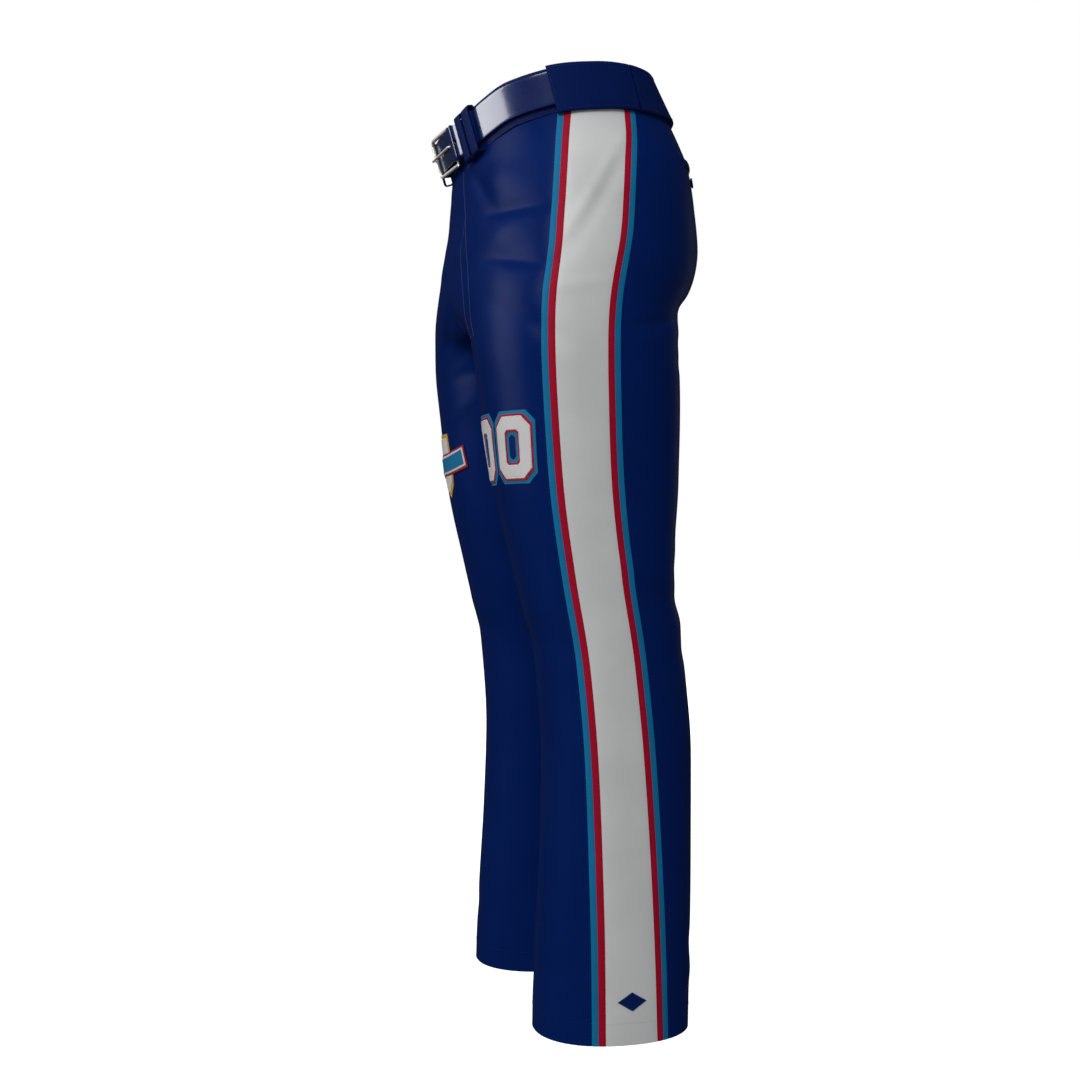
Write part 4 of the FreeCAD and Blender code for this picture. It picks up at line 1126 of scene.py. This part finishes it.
def build_pockets():
    low, high = WELT_HEIGHTS
    middle = sum(WELT_SPAN) / 2
    for side, word in SIDES:
        welt = leg_sheet(
            word + "welt", side, np.linspace(*WELT_SPAN, 50), np.linspace(low, high, 9),
            lambda t: 0.5 + 2.2 * np.sqrt(np.clip(1 - (2 * t - 1) ** 2, 0, 1)), 1.2,
        )
        dressed(welt, "navy_loops", word + "pocket_welt")
        bag = leg_sheet(
            word + "bag", side, np.linspace(WELT_SPAN[0] - 3, WELT_SPAN[1] + 3, 40),
            np.linspace(high - BAG_DEEP, high, 30), -CLOTH - 1.2, FOLD_CLOTH,
        )
        dressed(bag, "pocketing", word + "pocket_bag")
        ends = [
            [(WELT_SPAN[k] + shift, low - 1), (WELT_SPAN[k] + shift, high + 1)]
            for k, shifts in ((0, (0.8, 1.5, 2.2)), (1, (-0.8, -1.5, -2.2))) for shift in shifts
        ]
        rows = [[(WELT_SPAN[0], z), (WELT_SPAN[1], z)] for z in (low - 1.6, high + 1.6)]
        dressed(leg_stitches(word + "welt_stitches", side, ends + rows), "navy_thread")
        button(word, side, middle, low - 12.0)
        hole = [[(middle + d, low - 8.0), (middle + d, low - 16.5)] for d in (-0.8, 0.8)]
        dressed(leg_stitches(word + "buttonhole", side, hole, out=0.25, length=0.7, gap=0.2), "navy_thread")


BUTTON_PROFILE = [
    (0.0, 0.0), (5.2, 0.0), (5.9, 0.5), (6.0, 1.3), (5.5, 2.1),
    (4.7, 2.2), (4.0, 1.7), (3.2, 1.4), (0.0, 1.4),
]
BUTTON_HOLE_AT, BUTTON_HOLE_RADIUS = 1.5, 0.7


def circle(centre, ahead, up, radius, count):
    """Points evenly round a circle that lies across two directions."""
    turn = np.linspace(0, 2 * math.pi, count + 1)[:-1]
    return centre + (ahead * np.cos(turn)[:, None] + up * np.sin(turn)[:, None]) * radius


def button(word, side, s, z):
    """A four-hole button with a raised rim, and the threads that cross between its holes."""
    centre, normal = (v[0] for v in leg_place(side, [s], [z], 0.3))
    ahead = unit(np.cross(normal, [0, 0, 1.0]))
    up = np.cross(ahead, normal)
    rings = [circle(centre, ahead, up, max(r, 0.05), 40) + normal * h for r, h in BUTTON_PROFILE]
    disc = swept(word + "button", np.array(rings), np.zeros((len(rings), 40, 2)))
    at = BUTTON_HOLE_AT
    pins = []
    for i, j in ((-at, -at), (-at, at), (at, -at), (at, at)):
        rim = circle(centre + ahead * i + up * j, ahead, up, BUTTON_HOLE_RADIUS, 10)
        pins.append(swept("pin", np.array([rim - normal, rim + normal * 4]), np.zeros((2, 10, 2))))
    dressed(cut_by(disc, pins), "button_plastic", word + "pocket_button")
    starts, ends = [], []
    for shift in (-0.25, 0.0, 0.25):
        for j in (-at, at):
            starts.append(centre + ahead * -1.7 + up * (j + shift) + normal * 1.5)
            ends.append(centre + ahead * 1.7 + up * (j + shift) + normal * 1.5)
    dressed(threads(word + "button_thread", starts, ends, [normal] * 6, 0.17, 0.35), "navy_thread")


# ---------------------------------------------------------------- waist, tunnels and loops
def build_waist():
    seam = 0.4
    left_end, right_end = UNDERLAP_FROM + seam, FULL_ROUND + UNDERLAP_FROM
    section = rounded(-2.2, 0.0, BAND_LOW, BAND_HIGH, 0.9, 10)
    for word, s0, s1, seed in (
        ("left", left_end, HALF_ROUND - seam, 1.0), ("right", HALF_ROUND + seam, right_end, 5.0)
    ):
        obj = round_waist(f"waist_{word}", s0, s1, section, wave=0.3, seed=seed)
        dressed(obj, "navy_waistband", "waistband_" + word)
        ends = (s0 + 1.5, s1 - 1.5)
        rows = [(*ends, out, up) for out in (0.05, -2.25) for up in (BAND_LOW + 1.4, BAND_HIGH - 1.6)]
        dressed(waist_stitches(f"waist_{word}_stitches", rows), "navy_thread")
    under = round_waist(
        "underlap", UNDERLAP_FROM - 6, UNDERLAP_TO, rounded(-6.4, -4.6, BAND_LOW, BAND_HIGH, 0.8, 10)
    )
    dressed(under, "navy_waistband", "waistband_underlap")
    ridges = 0.28 * np.cos(np.linspace(0, 14 * math.pi, 57))
    ups = np.linspace(14.0, -15.0, 57)
    elastic = np.concatenate([
        np.stack([-2.75 + ridges, ups], -1), np.stack([-3.35 + 0 * ridges[::8], ups[::-8]], -1)
    ])
    grip = round_waist("gripper", UNDERLAP_TO + 6, FULL_ROUND - 26, elastic)
    dressed(grip, "elastic", "waist_gripper_elastic")


def build_tunnels():
    tunnels = [
        ("left_side_tunnel", [SIDE_TUNNEL], TUNNEL_OUT, 1.4),
        ("right_side_tunnel", [(-SIDE_TUNNEL[1], -SIDE_TUNNEL[0])], TUNNEL_OUT, 1.4),
        ("back_tunnel", [(HALF_ROUND - BACK_TUNNEL, HALF_ROUND + BACK_TUNNEL)], TUNNEL_OUT, 1.4),
        ("left_front_loops", LOOP_SPANS, LOOP_OUT, 3.2),
        ("right_front_loops", [(-b, -a) for a, b in LOOP_SPANS], LOOP_OUT, 3.2),
    ]
    for node, spans, reach, radius in tunnels:
        rows = []
        for k, (s0, s1) in enumerate(spans):
            obj = hoop(f"{node}_cloth_{k}", s0, s1, LOOP_LOW, LOOP_HIGH, reach, FOLD_CLOTH, radius)
            dressed(obj, "navy_loops", node)
            face = reach + FOLD_CLOTH + 0.3
            wide = s1 - s0 > 30
            ups = (LOOP_LOW + 3.0, LOOP_HIGH - 3.0) if wide else (LOOP_LOW + 4.5, LOOP_HIGH - 4.5)
            if wide:
                rows += [(s0 + 2, s1 - 2, face, up) for up in ups]
            edge = 2.2 if wide else 1.8
            rows += [(s, s + 0.01, face, ups) for s in (s0 + edge, s1 - edge)]
        dressed(waist_stitches(node + "_stitches", rows), "navy_thread")


# ---------------------------------------------------------------- belt
# start and length of each change in the strap's lie; the last two count from the end of a full round
OFF_CHAPE, ONTO_BAR, OFF_BAR = (50.0, 8.0), (-78.0, 38.0), (47.5, 10.0)
SLOT_SHIFT, SLOT_STRETCH = 3.25, 8.75    # the prong's hole, drawn out
PIN_PAST = 1.2                           # how far a cutting pin reaches past the strap
CHAPE_FROM, CHAPE_HALF_THICK, CHAPE_OUTER, CHAPE_INNER = 50.0, 0.7, 6.85, 2.65
PRONG_SLOT, PRONG_SLOT_DEEP, PRONG_SLOT_HALF = (14.0, 36.5), (-3.0, 12.0), 2.8
KEEPER_IN, KEEPER_OUT, KEEPER_THICK = 0.3, 11.8, 1.4


def eased(s, start, length):
    return float(smooth((s - start) / length))


def strap_lie(s):
    """Distance of the strap's inner face out from the waistband, as in the CAD."""
    lie = CHAPE_LIE + (STRAP_LIE - CHAPE_LIE) * eased(s, *OFF_CHAPE)
    lie += (TAIL_OVER_BAR - STRAP_LIE) * eased(s - FULL_ROUND, *ONTO_BAR)
    return lie - (TAIL_OVER_BAR - TAIL_LIE) * eased(s - FULL_ROUND, *OFF_BAR)


def build_strap():
    """The strap with its holes; the one the prong stands in is drawn out into a slot."""
    section = rounded(0.0, STRAP_THICK, -STRAP_HALF, STRAP_HALF, 0.8, 14)
    strap = round_waist(
        "strap", STRAP_START, FULL_ROUND + TAIL_END, section, step=2.5, lie=strap_lie, wave=0.25, seed=9.0
    )
    pins = []
    turn = np.linspace(0, 2 * math.pi, 25)[:-1]
    for k in range(HOLE_COUNT):
        at = FIRST_HOLE + HOLE_PITCH * k
        middle, stretch = (at + SLOT_SHIFT, SLOT_STRETCH) if k == PRONG_HOLE else (at, HOLE_RADIUS)
        s = middle + stretch * np.cos(turn)
        up = HOLE_RADIUS * np.sin(turn)
        lie = strap_lie(FULL_ROUND + at)
        rims = [waist_place(s, lie + d, up)[0] for d in (-PIN_PAST, STRAP_THICK + PIN_PAST)]
        pins.append(swept("pin", np.array(rims), np.zeros((2, len(turn), 2))))
    dressed(cut_by(strap, pins), "belt_leather", "belt_strap")


def build_chape():
    """The leather folded round the buckle's bar, with the slot that the prong swings in."""
    half = STRAP_HALF - 0.5
    bend = np.linspace(-math.pi / 2, math.pi / 2, 13)
    radius = BAR_RADIUS + 0.95
    path = [(s, CHAPE_OUTER) for s in np.linspace(CHAPE_FROM, 29, 10)]
    path += [(BAR_AT - radius * math.cos(a), BAR_OUT - radius * math.sin(a)) for a in bend]
    path = np.array(path + [(s, CHAPE_INNER) for s in np.linspace(28, CHAPE_FROM, 10)])
    ahead = unit(np.gradient(path, axis=0))
    aside = np.stack([ahead[:, 1], -ahead[:, 0]], -1)
    profile = rounded(-CHAPE_HALF_THICK, CHAPE_HALF_THICK, -half, half, 0.5, 8)
    rings = []
    for (s, out), (ns, nout) in zip(path, aside):
        rings.append(waist_place(s + ns * profile[:, 0], out + nout * profile[:, 0], profile[:, 1])[0])
    place = np.repeat(path[:, None, :1], len(profile), 1)
    uvs = np.concatenate([place, np.repeat(profile[None, :, 1:], len(path), 0)], -1)
    chape = swept("chape", np.array(rings), uvs)
    slot_s, slot_out = np.array(PRONG_SLOT)[[0, 1, 1, 0]], np.array(PRONG_SLOT_DEEP)[[0, 0, 1, 1]]
    ends = [waist_place(slot_s, slot_out, up)[0] for up in (-PRONG_SLOT_HALF, PRONG_SLOT_HALF)]
    cut = swept("pin", np.array(ends), np.zeros((2, 4, 2)))
    dressed(cut_by(chape, [cut]), "belt_leather", "belt_chape")


def build_keeper():
    keeper_half = STRAP_HALF + 0.5
    thick = KEEPER_THICK
    outer = rounded(KEEPER_IN, KEEPER_OUT + thick, -keeper_half - thick, keeper_half + thick, 2.4, 8)
    inner = rounded(KEEPER_IN + 1.2, KEEPER_OUT, -keeper_half, keeper_half, 1.4, 8)
    a, b = KEEPER_FROM, KEEPER_TO
    steps = [(a, 0.0), (a, 0.75), (a + 0.8, 1.0), (b - 0.8, 1.0), (b, 0.75), (b, 0.0)]
    rings = [waist_place(s, *(inner + (outer - inner) * f).T)[0] for s, f in steps]
    uvs = np.zeros((len(steps), len(outer), 2))
    keeper = swept("keeper", np.array(rings), uvs, closed=True)
    dressed(keeper, "belt_leather", "belt_keeper")


# ---------------------------------------------------------------- fly
def fly_sheet(name, x0, x1, depth, low, high, thick):
    """A flat sheet in the fly with a slight lengthwise ripple."""
    x, up = np.meshgrid(np.linspace(x0, x1, 10), np.linspace(low, high, 40))
    ripple = 0.12 * np.sin(up / 9.0)
    points = fly_place(x, depth + ripple, up)
    normals = np.broadcast_to(fly_place(0, -1, 0) - fly_place(0, 0, 0), points.shape)
    return sheet_object(name, points, normals, np.stack([x, up], -1), thick)


# the stitched line beside the fly: height, place
FLY_LINE = [
    (755.0, 156.0), (780.0, 160.0), (800.0, 162.0), (825.0, 170.0), (858.0, 180.0), (885.0, 187.0),
    (924.0, 196.0), (957.0, 199.0), (1000.0, 200.0),
]


def fly_line(shift):
    """The curved line of stitches beside the fly, or its twin a little nearer the middle."""
    heights = np.arange(760.0, 998.0, 5.0)
    return [(through(FLY_LINE, z) + shift * float(smooth((930 - z) / 60)) * 3.0, z) for z in heights]


def build_fly():
    bottom = CHAIN_TOP - CHAIN_LENGTH
    pieces = [
        ("fly_facing", -2.0, 36.0, 0.74, bottom - 8, -2.0, 0.8),
        ("fly_shield", -36.0, 8.0, 13.95, bottom - 8, -2.0, 0.9),
        ("zip_tape_left", 2.55, 14.0, CHAIN_DEPTH + 0.35, bottom - 6, 0.0, 0.7),
        ("zip_tape_right", -14.0, -2.55, CHAIN_DEPTH + 0.35, bottom - 6, 0.0, 0.7),
    ]
    for node, *spans in pieces:
        dressed(fly_sheet(node + "_cloth", *spans), "zip_tape", node)
    lines = [fly_line(shift) for shift in (0.0, 6.5)]
    dressed(leg_stitches("fly_stitches", 1, lines, out=0.25, radius=0.3), "pale_thread")


# ---------------------------------------------------------------- metal that keeps its CAD shape
METAL = {
    "buckle_frame": "pewter", "buckle_prong": "pewter", "chape_rivets": "rivet_metal",
    "waist_hook": "hook_steel", "waist_bar": "hook_steel",
    "zip_teeth_left": "zip_metal", "zip_teeth_right": "zip_metal", "zip_stops": "zip_metal",
    "zip_slider": "zip_metal", "zip_pull": "zip_metal",
}


def dress_metal():
    for obj in bpy.data.objects:
        if obj.type == "MESH" and obj.name in METAL:
            obj.data.materials.clear()
            obj.data.materials.append(LOOKS[METAL[obj.name]])


studio()
LOOKS = {name: make(name + "_look", *values, **more) for name, (make, values, more) in RECIPES.items()}
build_legs()
build_hems()
build_seam_stitches()
build_marks()
build_pockets()
build_waist()
build_tunnels()
build_strap()
build_chape()
build_keeper()
build_fly()
dress_metal()
